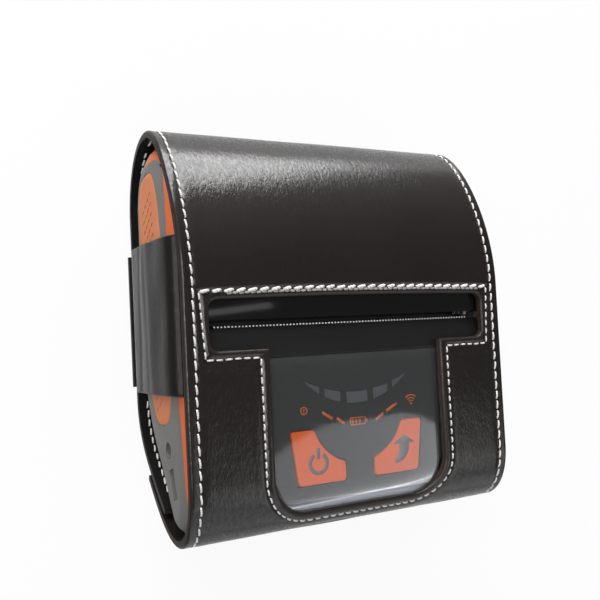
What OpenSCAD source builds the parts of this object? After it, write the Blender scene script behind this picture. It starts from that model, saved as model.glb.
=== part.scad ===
// Portable 80 mm thermal printer in its fitted leather case, lying on its back.
// X runs across, Y runs towards the end with the paper roll, Z rises out of the face.
// Z = 0 is the surface under the strap ends; the printer is centred on X and Y.

/* [Printer] */
// Width of the printer over both side faces
printer_w = 102; // [99:0.5:112]
// Length of the printer
printer_len = 107; // [104:0.5:118]
// Thickness of the printer from back to face
printer_h = 41.2; // [40:0.2:48]
// Distance of the tear edge from the middle of the printer, towards the roll
mouth_y = 0.5; // [-1:0.1:3]
// Wall of the back housing
back_wall = 2.2; // [1.6:0.1:3]
// Depth of the sunk face panels
panel_recess = 2; // [1.8:0.1:2.6]
// Deck left under the face panels
deck_t = 1.4; // [1:0.1:2]
// Rounding along the front rim
front_r = 5; // [4:0.25:6]
// Rounding along the back edges
back_r = 10; // [8:0.5:12]

/* [Leather case] */
// Thickness of the leather
leather_t = 2; // [1.4:0.1:2.6]
// Thickness of the clear window sheet
film_t = 0.5; // [0.3:0.1:0.8]
// How far each leather edge stays inside the printer's side face
edge_inset = 0.3; // [0:0.1:2]
// Width of the cross bar of the window
window_bar_w = 87.6; // [80:0.2:90]
// Length of the cross bar of the window along Y
window_bar_l = 13; // [10:0.5:16]
// Width of the window's stem
window_stem_w = 55; // [46:0.5:62]
// Distance from the tear edge to the bottom of the stem
window_stem_l = 51.5; // [47:0.5:52]
// Width of the side straps along Y
strap_w = 41; // [30:1:50]
// Thickness of the side straps
strap_t = 1.8; // [1.4:0.1:2.4]
// Distance of the straps' middle from the middle of the printer, towards the roll
strap_y = 3.5; // [-2:0.5:8]
// Angle under the side rounding at which the straps bend open
strap_hinge_a = 45; // [38:1:50]
// Thickness of the hook-and-loop closure
closure_t = 1; // [0.6:0.1:1.6]

/* [Paper and drive] */
// Diameter of the paper roll
roll_d = 32; // [24:0.5:32]
// Width of the paper
paper_w = 79.5; // [70:0.5:80]
// Diameter of the roll's core
core_d = 13; // [10:0.5:16]
// Distance from the tear edge to the roll's axis
roll_y = 22; // [21:0.25:23]
// Diameter of the platen roller
platen_d = 8; // [7:0.1:8.6]
// Depth of the platen's axis under the face
platen_depth = 8.5; // [8.2:0.1:9.5]
// Diameter of the platen's steel shaft
platen_shaft_d = 3; // [2.4:0.1:3.4]
// Size of the gear teeth
gear_module = 0.5; // [0.45:0.01:0.52]
// Face width of the gears
gear_w = 1.6; // [1.2:0.1:1.9]
// Diameter of the motor's can
motor_d = 15; // [10:0.5:15]
// Length of the motor's can
motor_l = 15; // [10:0.5:20]
// Length of the tear edge
tear_w = 83; // [78:0.5:86]
// Spacing of the tear teeth
tear_pitch = 1; // [0.8:0.1:2]

/* [Controls and ports] */
// Travel of the buttons
button_travel = 0.6; // [0.3:0.1:0.8]
// Diameter of the charging socket
jack_d = 4.4; // [3.5:0.1:5]
// Width of the data socket's opening
usb_w = 8; // [6:0.1:9]
// Height of the data socket's opening
usb_h = 3.2; // [2.4:0.1:3.6]
// Thickness of the circuit board
board_t = 1.6; // [1:0.1:2]
// Length of the battery across the printer
battery_l = 72; // [50:1:74]
// Shank diameter of the housing screws
screw_d = 2.8; // [2:0.1:3.2]

/* [Hidden] */
$fn = 48;

// Small distances used throughout
gap = 0.3;        // clearance between separate pieces
slack = 0.05;     // radial clearance of a running fit
far = 200;        // longer than anything here

// Colours
c_leather = "#2b211e";
c_lining = "#1a1716";
c_grey = "#6f706e";
c_orange = "#e4702c";
c_black = "#161617";
c_panel = "#3a3b3a";
c_steel = "#b9bcc0";
c_pcb = "#1f5a38";

// Main levels
half_w = printer_w / 2;
base_z = strap_t + leather_t + gap;
face_z = base_z + printer_h;
top_y = printer_len / 2;
bot_y = -printer_len / 2;
front_wall = panel_recess + deck_t;
wrap_gap = gap + film_t;
case_w = printer_w - 2 * edge_inset;

// Side outline of the printer, as lengths and heights of its curves
flat_past_mouth = 10; // from the tear edge to where the face starts to curve
shoulder_len = top_y - mouth_y - flat_past_mouth;
apex_h = 16.7;       // height of the roll end's tip over the back
crown_len = 20.5;    // from the roll end to where the back is flat
nose_len = 14;       // from the button end to where the face starts to curve
nose_h = 10.5;       // depth of the button end's tip under the face
heel_len = 13;       // from the button end to the heel
heel_h = 15.4;       // height of the heel over the back
sole_len = 53.5;     // from the button end to where the back turns flat
apex_z = base_z + apex_h;
nose_z = face_z - nose_h;
steps = 8;           // straight pieces in each curve

function mix(a, b, t) = a + (b - a) * t;
function clamp01(t) = max(0, min(1, t));
function curve_at(p, t) =
    pow(1 - t, 3) * p[0] + 3 * pow(1 - t, 2) * t * p[1] + 3 * (1 - t) * t * t * p[2] + pow(t, 3) * p[3];
// A cubic curve through p[0] and p[3] without its last point
function curve(p, n = steps) = [for (i = [0:n - 1]) curve_at(p, i / n)];
function curve_closed(p, n = steps) = [for (i = [0:n]) curve_at(p, i / n)];
function unit(v) = v / norm(v);
function reversed(a) = [for (i = [len(a) - 1:-1:0]) a[i]];

// Runs anticlockwise seen with Y to the right: back, roll end, face, button end
heel = [bot_y + heel_len, base_z + heel_h];
outline = concat(
    [[bot_y + sole_len, base_z]],
    curve([[top_y - crown_len, base_z], [top_y - crown_len * 0.46, base_z],
        [top_y, apex_z - apex_h * 0.6], [top_y, apex_z]]),
    curve([[top_y, apex_z], [top_y, mix(apex_z, face_z, 0.46)],
        [top_y - shoulder_len * 0.56, face_z], [top_y - shoulder_len, face_z]]),
    [[top_y - shoulder_len, face_z]],
    curve([[bot_y + nose_len, face_z], [bot_y + nose_len * 0.4, face_z],
        [bot_y, nose_z + nose_h * 0.62], [bot_y, nose_z]]),
    curve([[bot_y, nose_z], [bot_y, nose_z - 5.5], heel + [-5, 6], heel]),
    curve([heel, heel + [8.5, -9], [bot_y + sole_len - 18, base_z], [bot_y + sole_len, base_z]])
);
n_out = len(outline);
i_apex = 1 + steps;
i_nose = 2 + 3 * steps;
function at(i) = outline[(i + n_out) % n_out];
function inward(i) =
    let (d = unit(at(i + 1) - at(i - 1)))
    [-d[1], d[0]];
// Point i of the outline, moved d inwards
function inset(i, d) = at(i) + d * inward(i);
function inset_path(i0, i1, d) = [for (i = [i0:i1]) inset(i, d)];
function band(i0, i1, d0, d1) = concat(inset_path(i0, i1, d0), reversed(inset_path(i0, i1, d1)));

// Moves an open path d to its left
function shifted(path, d) = [for (i = [0:len(path) - 1])
    let (a = path[max(0, i - 1)], b = path[min(len(path) - 1, i + 1)], u = unit(b - a))
    path[i] + d * [-u[1], u[0]]];

// Rounding of the side edges: small at the face, large at the back
round_top_z = face_z - 7;
round_low_z = base_z + 14;
function edge_r(z) = mix(front_r, back_r, clamp01((round_top_z - z) / (round_top_z - round_low_z)));

// Draws a profile given in Y and Z, w wide across X
module across(w, x = 0) {
    translate([x, 0, 0])
        rotate([90, 0, 90])
            linear_extrude(w, center = true)
                children();
}

// Draws a profile given in X and Z, from y0 to y1
module along(y0, y1) {
    translate([0, y1, 0])
        rotate([90, 0, 0])
            linear_extrude(y1 - y0)
                children();
}

// A plain block between two corners
module block(a, b) {
    translate(a)
        cube(b - a);
}

// A round bar across X at height z
module bar(x0, x1, y, z, r) {
    translate([x0, y, z])
        rotate([0, 90, 0])
            cylinder(r = r, h = x1 - x0);
}

module both_sides() {
    children();
    mirror([1, 0, 0])
        children();
}

// The printer's outer form, with rounded side edges, made d smaller all round
rings = 5;
side_cut = 0.05;      // taken off each side to leave one flat face
module form(d) {
    w = half_w - d;
    function place(i, k, side) =
        let (r = max(edge_r(at(i)[1]) - d, 0.8), a = 90 * k / rings,
            p = inset(i, d + r * (1 - cos(a))))
        [side * (w + side_cut - r + r * sin(a)), p[0], p[1]];
    loops = concat([for (k = [rings:-1:0]) [-1, k]], [for (k = [0:rings]) [1, k]]);
    points = [for (l = loops) for (i = [0:n_out - 1]) place(i, l[1], l[0])];
    last = (len(loops) - 1) * n_out;
    faces = concat(
        [[for (i = [0:n_out - 1]) i]],
        [[for (i = [n_out - 1:-1:0]) last + i]],
        [for (j = [0:len(loops) - 2]) for (i = [0:n_out - 1])
            let (a = j * n_out + i, b = j * n_out + (i + 1) % n_out)
            each [[a, a + n_out, b], [b, a + n_out, b + n_out]]]
    );
    intersection() {
        polyhedron(points, faces);
        block([-w, -far, -far], [w, far, far]);
    }
}

// Line where the two housings meet, seen from the side
seam = concat(
    curve([[bot_y - 7, nose_z + 7], [bot_y + 3.5, nose_z + 3.5],
        [bot_y + 9.5, nose_z - 3.5], [bot_y + 25.5, nose_z - 5.4]]),
    curve_closed([[bot_y + 25.5, nose_z - 5.4], [0, nose_z - 8.5], [25, apex_z + 2], [top_y + 7, apex_z]])
);
// Lower edge of the coloured band: along the face, round the roll end and down to the seam
band_edge = concat(
    curve([[bot_y - 7, face_z - 2.6], [bot_y + 15.5, face_z - 1],
        [5, face_z - 4.9], [top_y - 24.5, face_z - 7.4]], 12),
    curve([[top_y - 24.5, face_z - 7.4], [top_y - 16.5, face_z - 9.1],
        [top_y - 7.3, face_z - 13], [top_y - 6.5, apex_z + 5.8]]),
    curve_closed([[top_y - 6.5, apex_z + 5.8], [top_y - 6.4, apex_z + 4.2],
        [top_y - 7.6, apex_z + 2.5], [top_y - 8.4, apex_z - 0.4]], 4)
);

module above(line) {
    across(printer_w + 20)
        polygon(concat([[-far, line[0][1]]], line,
            [[far, line[len(line) - 1][1]], [far, far], [-far, far]]));
}

// Openings of the face
face_half = half_w - front_r;         // the face is flat this far out
lid_front_y = mouth_y + 1.3;
panel_top_y = mouth_y - 9.2;
panel_end_y = bot_y + 3.5;
hinge_y = top_y - 9.5;
hinge_z = face_z - 14.5;
hinge_barrel_r = 2.6;
pin_r = 1;
lid_end_y = hinge_y + hinge_barrel_r + 0.4;
lid_back_y = hinge_y - 1.4;

// Platen, gears and motor, seen from the side
platen_c = [mouth_y + 1.4 + platen_d / 2, face_z - platen_depth];
platen_teeth = 20;
idler_teeth = 30;
pinion_teeth = 10;
gear_gap = 0.1;
idler_c = platen_c + (gear_module * (platen_teeth + idler_teeth) / 2 + gear_gap) * [cos(-115), sin(-115)];
motor_c = idler_c + (gear_module * (idler_teeth + pinion_teeth) / 2 + gear_gap) * [cos(195), sin(195)];
paper_half = paper_w / 2;
roll_c = [mouth_y + roll_y, base_z + back_wall + 1.2 + 0.6 + roll_d / 2];
bay_r = roll_d / 2 + 0.6;
bay_t = 1.2;
arm_x = 40.5;
arm_t = 1.2;
frame_x = arm_x + arm_t + 0.5;
frame_t = 1.2;
gear_x = frame_x + frame_t + gap;
bush_r = 2.6;

// Board and buttons
board_z = face_z - front_wall - 2.5;
board_half = 40;
switch_h = 1.6;

// Snug pocket for the grips in both side walls
grip_t = 1.2;
grip_proud = 0.2;
grip_low = [bot_y + 28.3, nose_z - 5.7];
grip_high = [top_y - 9.8, apex_z + 0.6];
grip_half = 9.8;
function grip_at(s, side, more) =
    let (along_u = unit(grip_high - grip_low), across_u = [-along_u[1], along_u[0]],
        q = abs(2 * s - 1), n = 3.4,
        w = (grip_half + more) * pow(max(0, 1 - pow(q, n)), 1 / n),
        l = norm(grip_high - grip_low) / 2 + more)
    (grip_low + grip_high) / 2 + (2 * s - 1) * l * along_u + side * w * across_u;
function grip_line(more) = concat(
    [for (k = [0:20]) grip_at((1 - cos(180 * k / 20)) / 2, 1, more)],
    [for (k = [19:-1:1]) grip_at((1 - cos(180 * k / 20)) / 2, -1, more)]
);

// Sockets in the left side wall
jack_c = [bot_y + 22, nose_z - 2.5];
usb_c = [bot_y + 13.6, nose_z + 0.6];
usb_tilt = -21;

module side_ports() {
    bar(-half_w - 1, -half_w + front_wall + 1, jack_c[0], jack_c[1], jack_d / 2);
    across(front_wall + 2, -half_w + front_wall / 2)
        translate(usb_c)
            rotate(usb_tilt)
                square([usb_w, usb_h], center = true);
}

module grip_pockets() {
    both_sides()
        across(2 * (grip_t - grip_proud), half_w)
            polygon(grip_line(0.05));
}

// Screw posts: [x, y]
post_r = 3.4;
post_x = half_w - front_wall - post_r + 0.8;
posts = [[post_x, bot_y + 31.5], [post_x, hinge_y]];
screw_head_r = 2.6;
screw_seat = 4;
screw_l = 8.5;
function seam_z(y) =
    let (hits = [for (i = [0:len(seam) - 2]) if (seam[i][0] <= y && seam[i + 1][0] > y) i], i = hits[0])
    mix(seam[i][1], seam[i + 1][1], (y - seam[i][0]) / (seam[i + 1][0] - seam[i][0]));
function post_seat(y) = seam_z(y) - screw_seat;

module back_housing() {
    color(c_grey)
        difference() {
            union() {
                difference() {
                    form(0);
                    form(back_wall);
                }
                intersection() {
                    union() {
                        both_sides()
                            for (p = posts)
                                translate([p[0], p[1], base_z + 1])
                                    cylinder(r = post_r, h = far);
                        // Ribs that carry the battery
                        for (x = [-22, 0, 22])
                            block([x - 1, battery_y0 + 1, base_z + 1], [x + 1, battery_y1 - 1, battery_z0]);
                    }
                    form(back_wall / 2);
                }
            }
            above(seam);
            both_sides()
                for (p = posts) {
                    translate([p[0], p[1], 0])
                        cylinder(r = screw_head_r + 0.2, h = post_seat(p[1]));
                    translate([p[0], p[1], 0])
                        cylinder(r = screw_d / 2 + 0.1, h = far);
                }
            side_ports();
            grip_pockets();
        }
}

module front_housing() {
    color(c_grey)
        difference() {
            union() {
                difference() {
                    form(0);
                    form(front_wall);
                }
                intersection() {
                    union() {
                        both_sides() {
                            for (p = posts)
                                translate([p[0], p[1], 0])
                                    cylinder(r = post_r, h = hinge_z - hinge_barrel_r - 0.5);
                            bar(face_half, half_w - 2, hinge_y, hinge_z, hinge_barrel_r);
                        }
                        for (x = [-34, 34], y = [bot_y + 14, panel_top_y - 5])
                            translate([x, y, board_z])
                                cylinder(r = 2.2, h = far);
                    }
                    form(front_wall / 2);
                }
            }
            // Everything under the seam goes
            difference() {
                block([-far, -far, -far], [far, far, face_z - 1]);
                above(seam);
            }
            trim_space();
            // Sunk place of the face panels
            along_face(-1, panel_recess, panel_end_y, mouth_y + 2, face_half);
            // Mouth for the paper cover
            block([-face_half, tear_y - 2.6, apex_z + 4], [face_half, lid_end_y, far]);
            bar(-face_half, face_half, hinge_y, hinge_z, hinge_barrel_r + gap);
            bar(-half_w + 1.5, half_w - 1.5, hinge_y, hinge_z, pin_r);
            // Button and light openings in the deck
            both_sides()
                block([button_low_x - 1.2, button_y0 - 1.2, 0], [button_high_x + 1.2, button_y1 + 1.2, far]);
            block([-18, light_low_y - 0.9, 0], [18, light_low_y + 8.1, far]);
            both_sides()
                for (p = posts)
                    translate([p[0], p[1], 0])
                        cylinder(r = screw_d / 2, h = post_seat(p[1]) + screw_l + 0.4);
            side_ports();
            grip_pockets();
        }
}

// A layer under the face between depths d0 and d1, from y0 to y1
module along_face(d0, d1, y0, y1, half) {
    intersection() {
        across(2 * half)
            polygon(band(i_apex, i_nose, d0, d1));
        block([-far, y0, 0], [far, y1, far]);
    }
}

// Space of the coloured band: outer skin above its lower edge, outside the flat face and the hinge pin
module trim_space() {
    difference() {
        intersection() {
            difference() {
                form(-0.5);
                form(panel_recess);
            }
            above(band_edge);
            above(seam);
        }
        block([-face_half, panel_end_y, 0], [face_half, far, far]);
        bar(-half_w + 1.5, half_w - 1.5, hinge_y, hinge_z, pin_r);
    }
}

module trim(side) {
    color(c_orange)
        intersection() {
            form(0);
            trim_space();
            block([side < 0 ? -far : 0, -far, -far], [side < 0 ? 0 : far, far, far]);
        }
}

module left_trim() {
    trim(-1);
}

module right_trim() {
    trim(1);
}

module grip(side) {
    color(c_orange)
        across(grip_t, side * (half_w + grip_proud - grip_t / 2))
            polygon(grip_line(0));
}

module left_grip() {
    grip(-1);
}

module right_grip() {
    grip(1);
}

module paper_cover() {
    half = face_half - gap;
    color(c_black)
        difference() {
            union() {
                difference() {
                    along_face(0, 2.2, lid_front_y, lid_back_y, half);
                    bar(-far, far, hinge_y, hinge_z, hinge_barrel_r);
                }
                bar(-half, half, hinge_y, hinge_z, hinge_barrel_r);
                // Web between the hinge barrel and the lid
                along_face(1, 4, lid_back_y - 3.5, lid_back_y, half);
                // Lip at the paper slot
                block([-half, lid_front_y, face_z - 3.6], [half, lid_front_y + 1.6, face_z - 1]);
                // Arms that hold the platen
                both_sides()
                    across(arm_t, arm_x + arm_t / 2)
                        polygon([platen_c + [-3.4, 7], platen_c + [-3.4, -1], platen_c + [-2, -3.6],
                            platen_c + [2, -3.6], platen_c + [4.5, 2], platen_c + [9, 7]]);
                // Stiffening ribs over the roll
                for (x = [-30, -15, 0, 15, 30])
                    difference() {
                        along_face(1, 3.8, roll_c[0] - 9, hinge_y - 5, 0.6 + abs(x));
                        along_face(0, 5, roll_c[0] - 10, hinge_y, max(0.01, abs(x) - 0.6));
                        bar(-far, far, roll_c[0], roll_c[1], roll_d / 2 + 0.6);
                        if (x < 0)
                            block([0, -far, -far], [far, far, far]);
                        if (x > 0)
                            block([-far, -far, -far], [0, far, far]);
                    }
            }
            bar(-far, far, hinge_y, hinge_z, pin_r + slack);
            bar(-far, far, platen_c[0], platen_c[1], bush_r);
        }
}

module cover_hinge_pin() {
    color(c_steel)
        bar(-half_w + 2, half_w - 2, hinge_y, hinge_z, pin_r);
}

tear_t = 0.5;
tear_y = mouth_y - 0.7;
tear_top = face_z - 1.6;
tear_foot = face_z - 4.8;
module tear_bar() {
    count = floor(tear_w / tear_pitch);
    edge = [for (k = [0:count - 1])
        each [[(k - count / 2) * tear_pitch, tear_top - 0.7], [(k + 0.5 - count / 2) * tear_pitch, tear_top]]];
    color(c_steel)
        along(tear_y, tear_y + tear_t)
            polygon(concat([[-tear_w / 2, tear_foot]], edge, [[tear_w / 2, tear_top - 0.7], [tear_w / 2, tear_foot]]));
}

module head_cover() {
    top = face_z - 0.1;
    color(c_black)
        across(2 * (face_half - gap))
            polygon([[panel_top_y + gap, top - 1.8], [panel_top_y + gap, top], [mouth_y - 5, top - 0.2],
                [tear_y - 1.2, tear_top + 0.2], [tear_y - 0.05, tear_top - 0.3], [tear_y - 0.05, tear_foot],
                [tear_y - 1.4, tear_foot], [tear_y - 2.4, top - 1.8]]);
}

// Buttons: five sided with a hollow inner edge
button_low_x = 4.6;
button_high_x = 21.4;
button_len = 14.8;
button_y0 = panel_end_y + 6.5;
button_y1 = button_y0 + button_len;
button_fit = 0.25;
hollow_r = 14;
hollow_a = [button_low_x + 0.4, button_y0 + 5.6];
hollow_b = [button_high_x - 7, button_y1 - 0.2];
hollow_half = norm(hollow_b - hollow_a) / 2;
hollow_c = (hollow_a + hollow_b) / 2
    + sqrt(pow(hollow_r, 2) - pow(hollow_half, 2)) * unit([hollow_a[1] - hollow_b[1], hollow_b[0] - hollow_a[0]]);
module button_shape(more = 0) {
    x0 = button_low_x - more;
    x1 = button_high_x + more;
    y0 = button_y0 - more;
    y1 = button_y1 + more;
    difference() {
        polygon([[x0 + 0.6, y0], [x1 - 2.2, y0], [x1 - 1.6, y0 + 0.7], [x1, y1 - 1], [x1 - 0.6, y1],
            [x1 - 6.2, y1], [x1 - 7, y1 - 0.4], [x0, y0 + 5.4], [x0, y0 + 0.6]]);
        translate(hollow_c)
            circle(r = hollow_r - more);
    }
}

module button(side) {
    color(c_orange)
        mirror([side < 0 ? 1 : 0, 0, 0]) {
            translate([0, 0, face_z - 2.8])
                linear_extrude(2.7)
                    button_shape(0);
            // Foot over the switch
            translate([switch_x, switch_y, face_z - 3.8])
                cylinder(r = 1.6, h = 1.4);
        }
}
switch_x = 13.6;
switch_y = button_y0 + 4.5;

module power_button() {
    button(-1);
}

module feed_button() {
    button(1);
}

// Lights: one crescent cut into five
light_low_r = 23;
light_high_r = 36.4;
light_low_y = mouth_y - 23.1;
light_high_y = mouth_y - 19.9;
module light_shapes(more = 0) {
    cuts = [[-16.6, -12], [-10.3, -5.4], [-3.4, 3.4], [5.4, 10.3], [12, 16.6]];
    intersection() {
        difference() {
            translate([0, light_low_y + light_low_r - more])
                circle(r = light_low_r, $fn = 96);
            translate([0, light_high_y + light_high_r + more])
                circle(r = light_high_r, $fn = 96);
        }
        for (c = cuts)
            translate([c[0] - more, light_low_y - 2])
                square([c[1] - c[0] + 2 * more, 14]);
    }
}

module control_panel() {
    color(c_panel)
        difference() {
            along_face(0.3, panel_recess - 0.1, panel_end_y + gap, panel_top_y, face_half - gap);
            linear_extrude(far)
                button_shape(button_fit);
            mirror([1, 0, 0])
                linear_extrude(far)
                    button_shape(button_fit);
            linear_extrude(far)
                light_shapes(0.05);
        }
}

module light_windows() {
    color("#8d9092")
        translate([0, 0, face_z - panel_recess])
            linear_extrude(panel_recess - 0.25)
                light_shapes();
}

light_spots = [[-13.8, -18.4], [-7.8, -20.8], [0, -21.6], [7.8, -20.8], [13.8, -18.4]];
module status_lights() {
    color("#e9e4cf")
        for (p = light_spots)
            translate([p[0] - 1.6, mouth_y + p[1] - 1.1, board_z])
                cube([3.2, 2.2, 1.9]);
}

board_y0 = bot_y + 9;
board_y1 = panel_top_y + 1.5;
module main_board() {
    color(c_pcb) {
        difference() {
            block([-board_half, board_y0, board_z - board_t], [board_half, board_y1, board_z]);
            for (x = [-34, 34], y = [bot_y + 14, panel_top_y - 5])
                translate([x, y, 0])
                    cylinder(r = 1.1, h = far);
        }
        // Processor, driver chips, coil and two plugs on the inner side
        for (c = [[-14, 16.5, 12, 12, 1.6], [8, 14.5, 9, 9, 1.6], [24, 22.5, 6, 10, 1.4], [-28, 28.5, 7, 7, 1.8]])
            translate([c[0] - c[2] / 2, board_y0 + c[1] - c[3] / 2, board_z - board_t - c[4]])
                cube([c[2], c[3], c[4]]);
    }
}

module button_switches() {
    color("#202124")
        for (s = [-1, 1])
            translate([s * switch_x, switch_y, board_z]) {
                translate([-2.6, -2.6, 0])
                    cube([5.2, 5.2, switch_h - 1]);
                cylinder(r = 1.6, h = board_gap_to_foot);
            }
}
// The switches end just under the buttons' feet, with the travel left free
board_gap_to_foot = face_z - 3.8 - board_z - button_travel - 0.1;

port_x = -half_w + front_wall + 0.2;
module usb_socket() {
    color(c_steel)
        difference() {
            across(-board_half - port_x - 0.1, (port_x - board_half) / 2)
                translate(usb_c)
                    rotate(usb_tilt)
                        square([usb_w + 1, usb_h + 1], center = true);
            across(2 * 6, port_x)
                translate(usb_c)
                    rotate(usb_tilt)
                        square([usb_w, usb_h], center = true);
        }
}

module charge_socket() {
    r = jack_d / 2 + 1.3;
    color(c_black)
        difference() {
            union() {
                block([port_x, jack_c[0] - r, jack_c[1] - r], [port_x + 9, jack_c[0] + r, jack_c[1] + r]);
                block([-board_half + 0.5, jack_c[0] - r + 0.8, jack_c[1]], [port_x + 9, jack_c[0] + r, board_z - board_t]);
            }
            bar(port_x - 1, port_x + 6, jack_c[0], jack_c[1], jack_d / 2);
        }
    color(c_steel)
        bar(port_x + 1, port_x + 6.5, jack_c[0], jack_c[1], 0.65);
}

// The battery fills the room between the heel and the mechanism
battery_t = 14.6;
frame_y0 = mouth_y - 17.5;
battery_y0 = bot_y + heel_len + back_wall - 0.2;
battery_y1 = frame_y0 - 1.5;
battery_z1 = board_z - board_t - 2.4;
battery_z0 = battery_z1 - battery_t;
module battery_pack() {
    r = 3;
    color("#24476e")
        across(battery_l)
            translate([battery_y0 + r, battery_z0 + r])
                offset_round([battery_y1 - battery_y0 - 2 * r, battery_z1 - battery_z0 - 2 * r], r);
}

// A rectangle of the given inner size with round corners of radius r
module offset_round(size, r) {
    translate([-r, 0])
        square([size[0] + 2 * r, size[1]]);
    translate([0, -r])
        square([size[0], size[1] + 2 * r]);
    for (x = [0, size[0]], y = [0, size[1]])
        translate([x, y])
            circle(r = r);
}

module housing_screws() {
    color(c_steel)
        both_sides()
            for (p = posts)
                difference() {
                    union() {
                        translate([p[0], p[1], post_seat(p[1]) - 1.8])
                            cylinder(r = screw_head_r, h = 1.8);
                        translate([p[0], p[1], post_seat(p[1])])
                            cylinder(r = screw_d / 2, h = screw_l);
                    }
                    // Cross slot
                    for (a = [0, 90])
                        translate([p[0], p[1], post_seat(p[1]) - 1.8])
                            rotate(a)
                                cube([3, 0.7, 1.8], center = true);
                }
}

frame_y1 = platen_c[0] + 5.6;
head_y0 = platen_c[0] - platen_d / 2 - 0.1 - 2.5;
head_z0 = platen_c[1] - 6.3;
head_z1 = platen_c[1] + 3.5;
spring_l = 4.9;
module mechanism_frame() {
    color(c_steel)
        difference() {
            union() {
                both_sides()
                    across(frame_t, frame_x + frame_t / 2)
                        polygon([[frame_y0, 12], [frame_y1 - 4, 12], [frame_y1 - 4, platen_c[1] - 8], [frame_y1, platen_c[1] - 4],
                            [frame_y1, platen_c[1] + 3.4], [head_y0 - 2, platen_c[1] + 3.4], [frame_y0, board_z - board_t - 1]]);
                // Wall behind the print head and floor under the motor
                block([-frame_x, head_y0 - spring_l - 1.2, head_z0 + 0.5], [frame_x, head_y0 - spring_l, head_z1]);
                block([-frame_x, frame_y0, 12], [frame_x, head_y0, 13.2]);
            }
            // Notches for the platen's bushes, flared towards the roll
            both_sides()
                across(frame_t * 3, frame_x) {
                    translate(platen_c)
                        circle(r = bush_r + 0.1);
                    polygon([platen_c + [-bush_r - 0.1, 0], platen_c + [bush_r + 0.1, 0],
                        platen_c + [bush_r + 1.4, 6], platen_c + [-bush_r - 0.1, 6]]);
                }
            bar(0, far, motor_c[0], motor_c[1], gear_module * pinion_teeth / 2 + 0.8);
            // Lightening windows in the side plates
            both_sides()
                across(frame_t * 3, frame_x)
                    polygon([[frame_y0 + 3, 15.5], [frame_y0 + 3 + 8, 15.5], [frame_y0 + 3, 23.5]]);
        }
}

module print_head() {
    face = head_y0 + 2.5;
    color("#c9c6b8")
        difference() {
            block([-frame_x + 0.2, head_y0, head_z0], [frame_x - 0.2, face, head_z1]);
            // Step behind the ceramic strip
            block([-far, face - 0.6, platen_c[1] + 1.6], [far, far, far]);
        }
}

module head_springs() {
    color(c_steel)
        for (x = [-24, 0, 24])
            translate([x, head_y0 - spring_l, platen_c[1] - 1.5])
                rotate([-90, 0, 0])
                    difference() {
                        cylinder(r = 2.2, h = spring_l);
                        translate([0, 0, -1])
                            cylinder(r = 1.6, h = spring_l + 2);
                    }
}

roller_half = paper_half + 0.25;
module platen_roller() {
    color("#2a2a2a")
        difference() {
            bar(-roller_half, roller_half, platen_c[0], platen_c[1], platen_d / 2);
            bar(-far, far, platen_c[0], platen_c[1], platen_shaft_d / 2);
        }
}

module platen_shaft() {
    color(c_steel)
        bar(-frame_x - frame_t - gap, gear_x + gear_w, platen_c[0], platen_c[1], platen_shaft_d / 2);
}

module platen_bushes() {
    color("#d8d4c4")
        both_sides()
            difference() {
                bar(arm_x, frame_x + frame_t, platen_c[0], platen_c[1], bush_r);
                bar(arm_x - 1, far, platen_c[0], platen_c[1], platen_shaft_d / 2 + slack);
            }
}

// A spur gear's outline with straight-sided teeth; turned so that a tooth lies at angle a0
module gear_shape(teeth, a0) {
    pitch_r = gear_module * teeth / 2;
    tip_r = pitch_r + gear_module * 0.95;
    root_r = pitch_r - gear_module * 1.2;
    step = 360 / teeth;
    polygon([for (k = [0:teeth - 1])
        let (a = a0 + k * step)
        each [
            root_r * [cos(a - step * 0.36), sin(a - step * 0.36)],
            pitch_r * [cos(a - step * 0.225), sin(a - step * 0.225)],
            tip_r * [cos(a - step * 0.1), sin(a - step * 0.1)],
            tip_r * [cos(a + step * 0.1), sin(a + step * 0.1)],
            pitch_r * [cos(a + step * 0.225), sin(a + step * 0.225)],
            root_r * [cos(a + step * 0.36), sin(a + step * 0.36)]
        ]]);
}

module gear(c, teeth, a0, bore_r) {
    difference() {
        translate([gear_x, c[0], c[1]])
            rotate([90, 0, 90])
                linear_extrude(gear_w)
                    gear_shape(teeth, a0);
        bar(gear_x - 1, gear_x + gear_w + 1, c[0], c[1], bore_r);
    }
}

// The platen gear has a tooth on the line to the idler, which has a gap there
module platen_gear() {
    color("#e8e2cc")
        gear(platen_c, platen_teeth, -115, platen_shaft_d / 2);
}

idler_axle_r = 1;
module idler_gear() {
    color("#e8e2cc")
        gear(idler_c, idler_teeth, 65 + 180 / idler_teeth, idler_axle_r + slack);
}

module idler_axle() {
    color(c_steel) {
        bar(frame_x + frame_t, gear_x + gear_w + gap, idler_c[0], idler_c[1], idler_axle_r);
        bar(gear_x + gear_w + gap, gear_x + gear_w + gap + 0.4, idler_c[0], idler_c[1], idler_axle_r + 0.6);
    }
}

motor_shaft_r = 0.75;
module drive_motor() {
    color("#9b9ea2") {
        bar(frame_x - motor_l, frame_x, motor_c[0], motor_c[1], motor_d / 2);
        bar(frame_x - 0.5, gear_x + gear_w + gap, motor_c[0], motor_c[1], motor_shaft_r);
        bar(frame_x - motor_l - 1.2, frame_x - motor_l, motor_c[0], motor_c[1], 3);
    }
}

// Tooth phase of the pinion against the idler's teeth on the line between their axes
idler_tooth = 65 + 180 / idler_teeth;
idler_phase = (195 - idler_tooth) / (360 / idler_teeth);
pinion_a0 = 15 + (idler_phase - floor(idler_phase)) * 360 / pinion_teeth + 180 / pinion_teeth;
module motor_pinion() {
    color("#c9a24a")
        gear(motor_c, pinion_teeth, pinion_a0, motor_shaft_r + slack);
}

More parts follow.
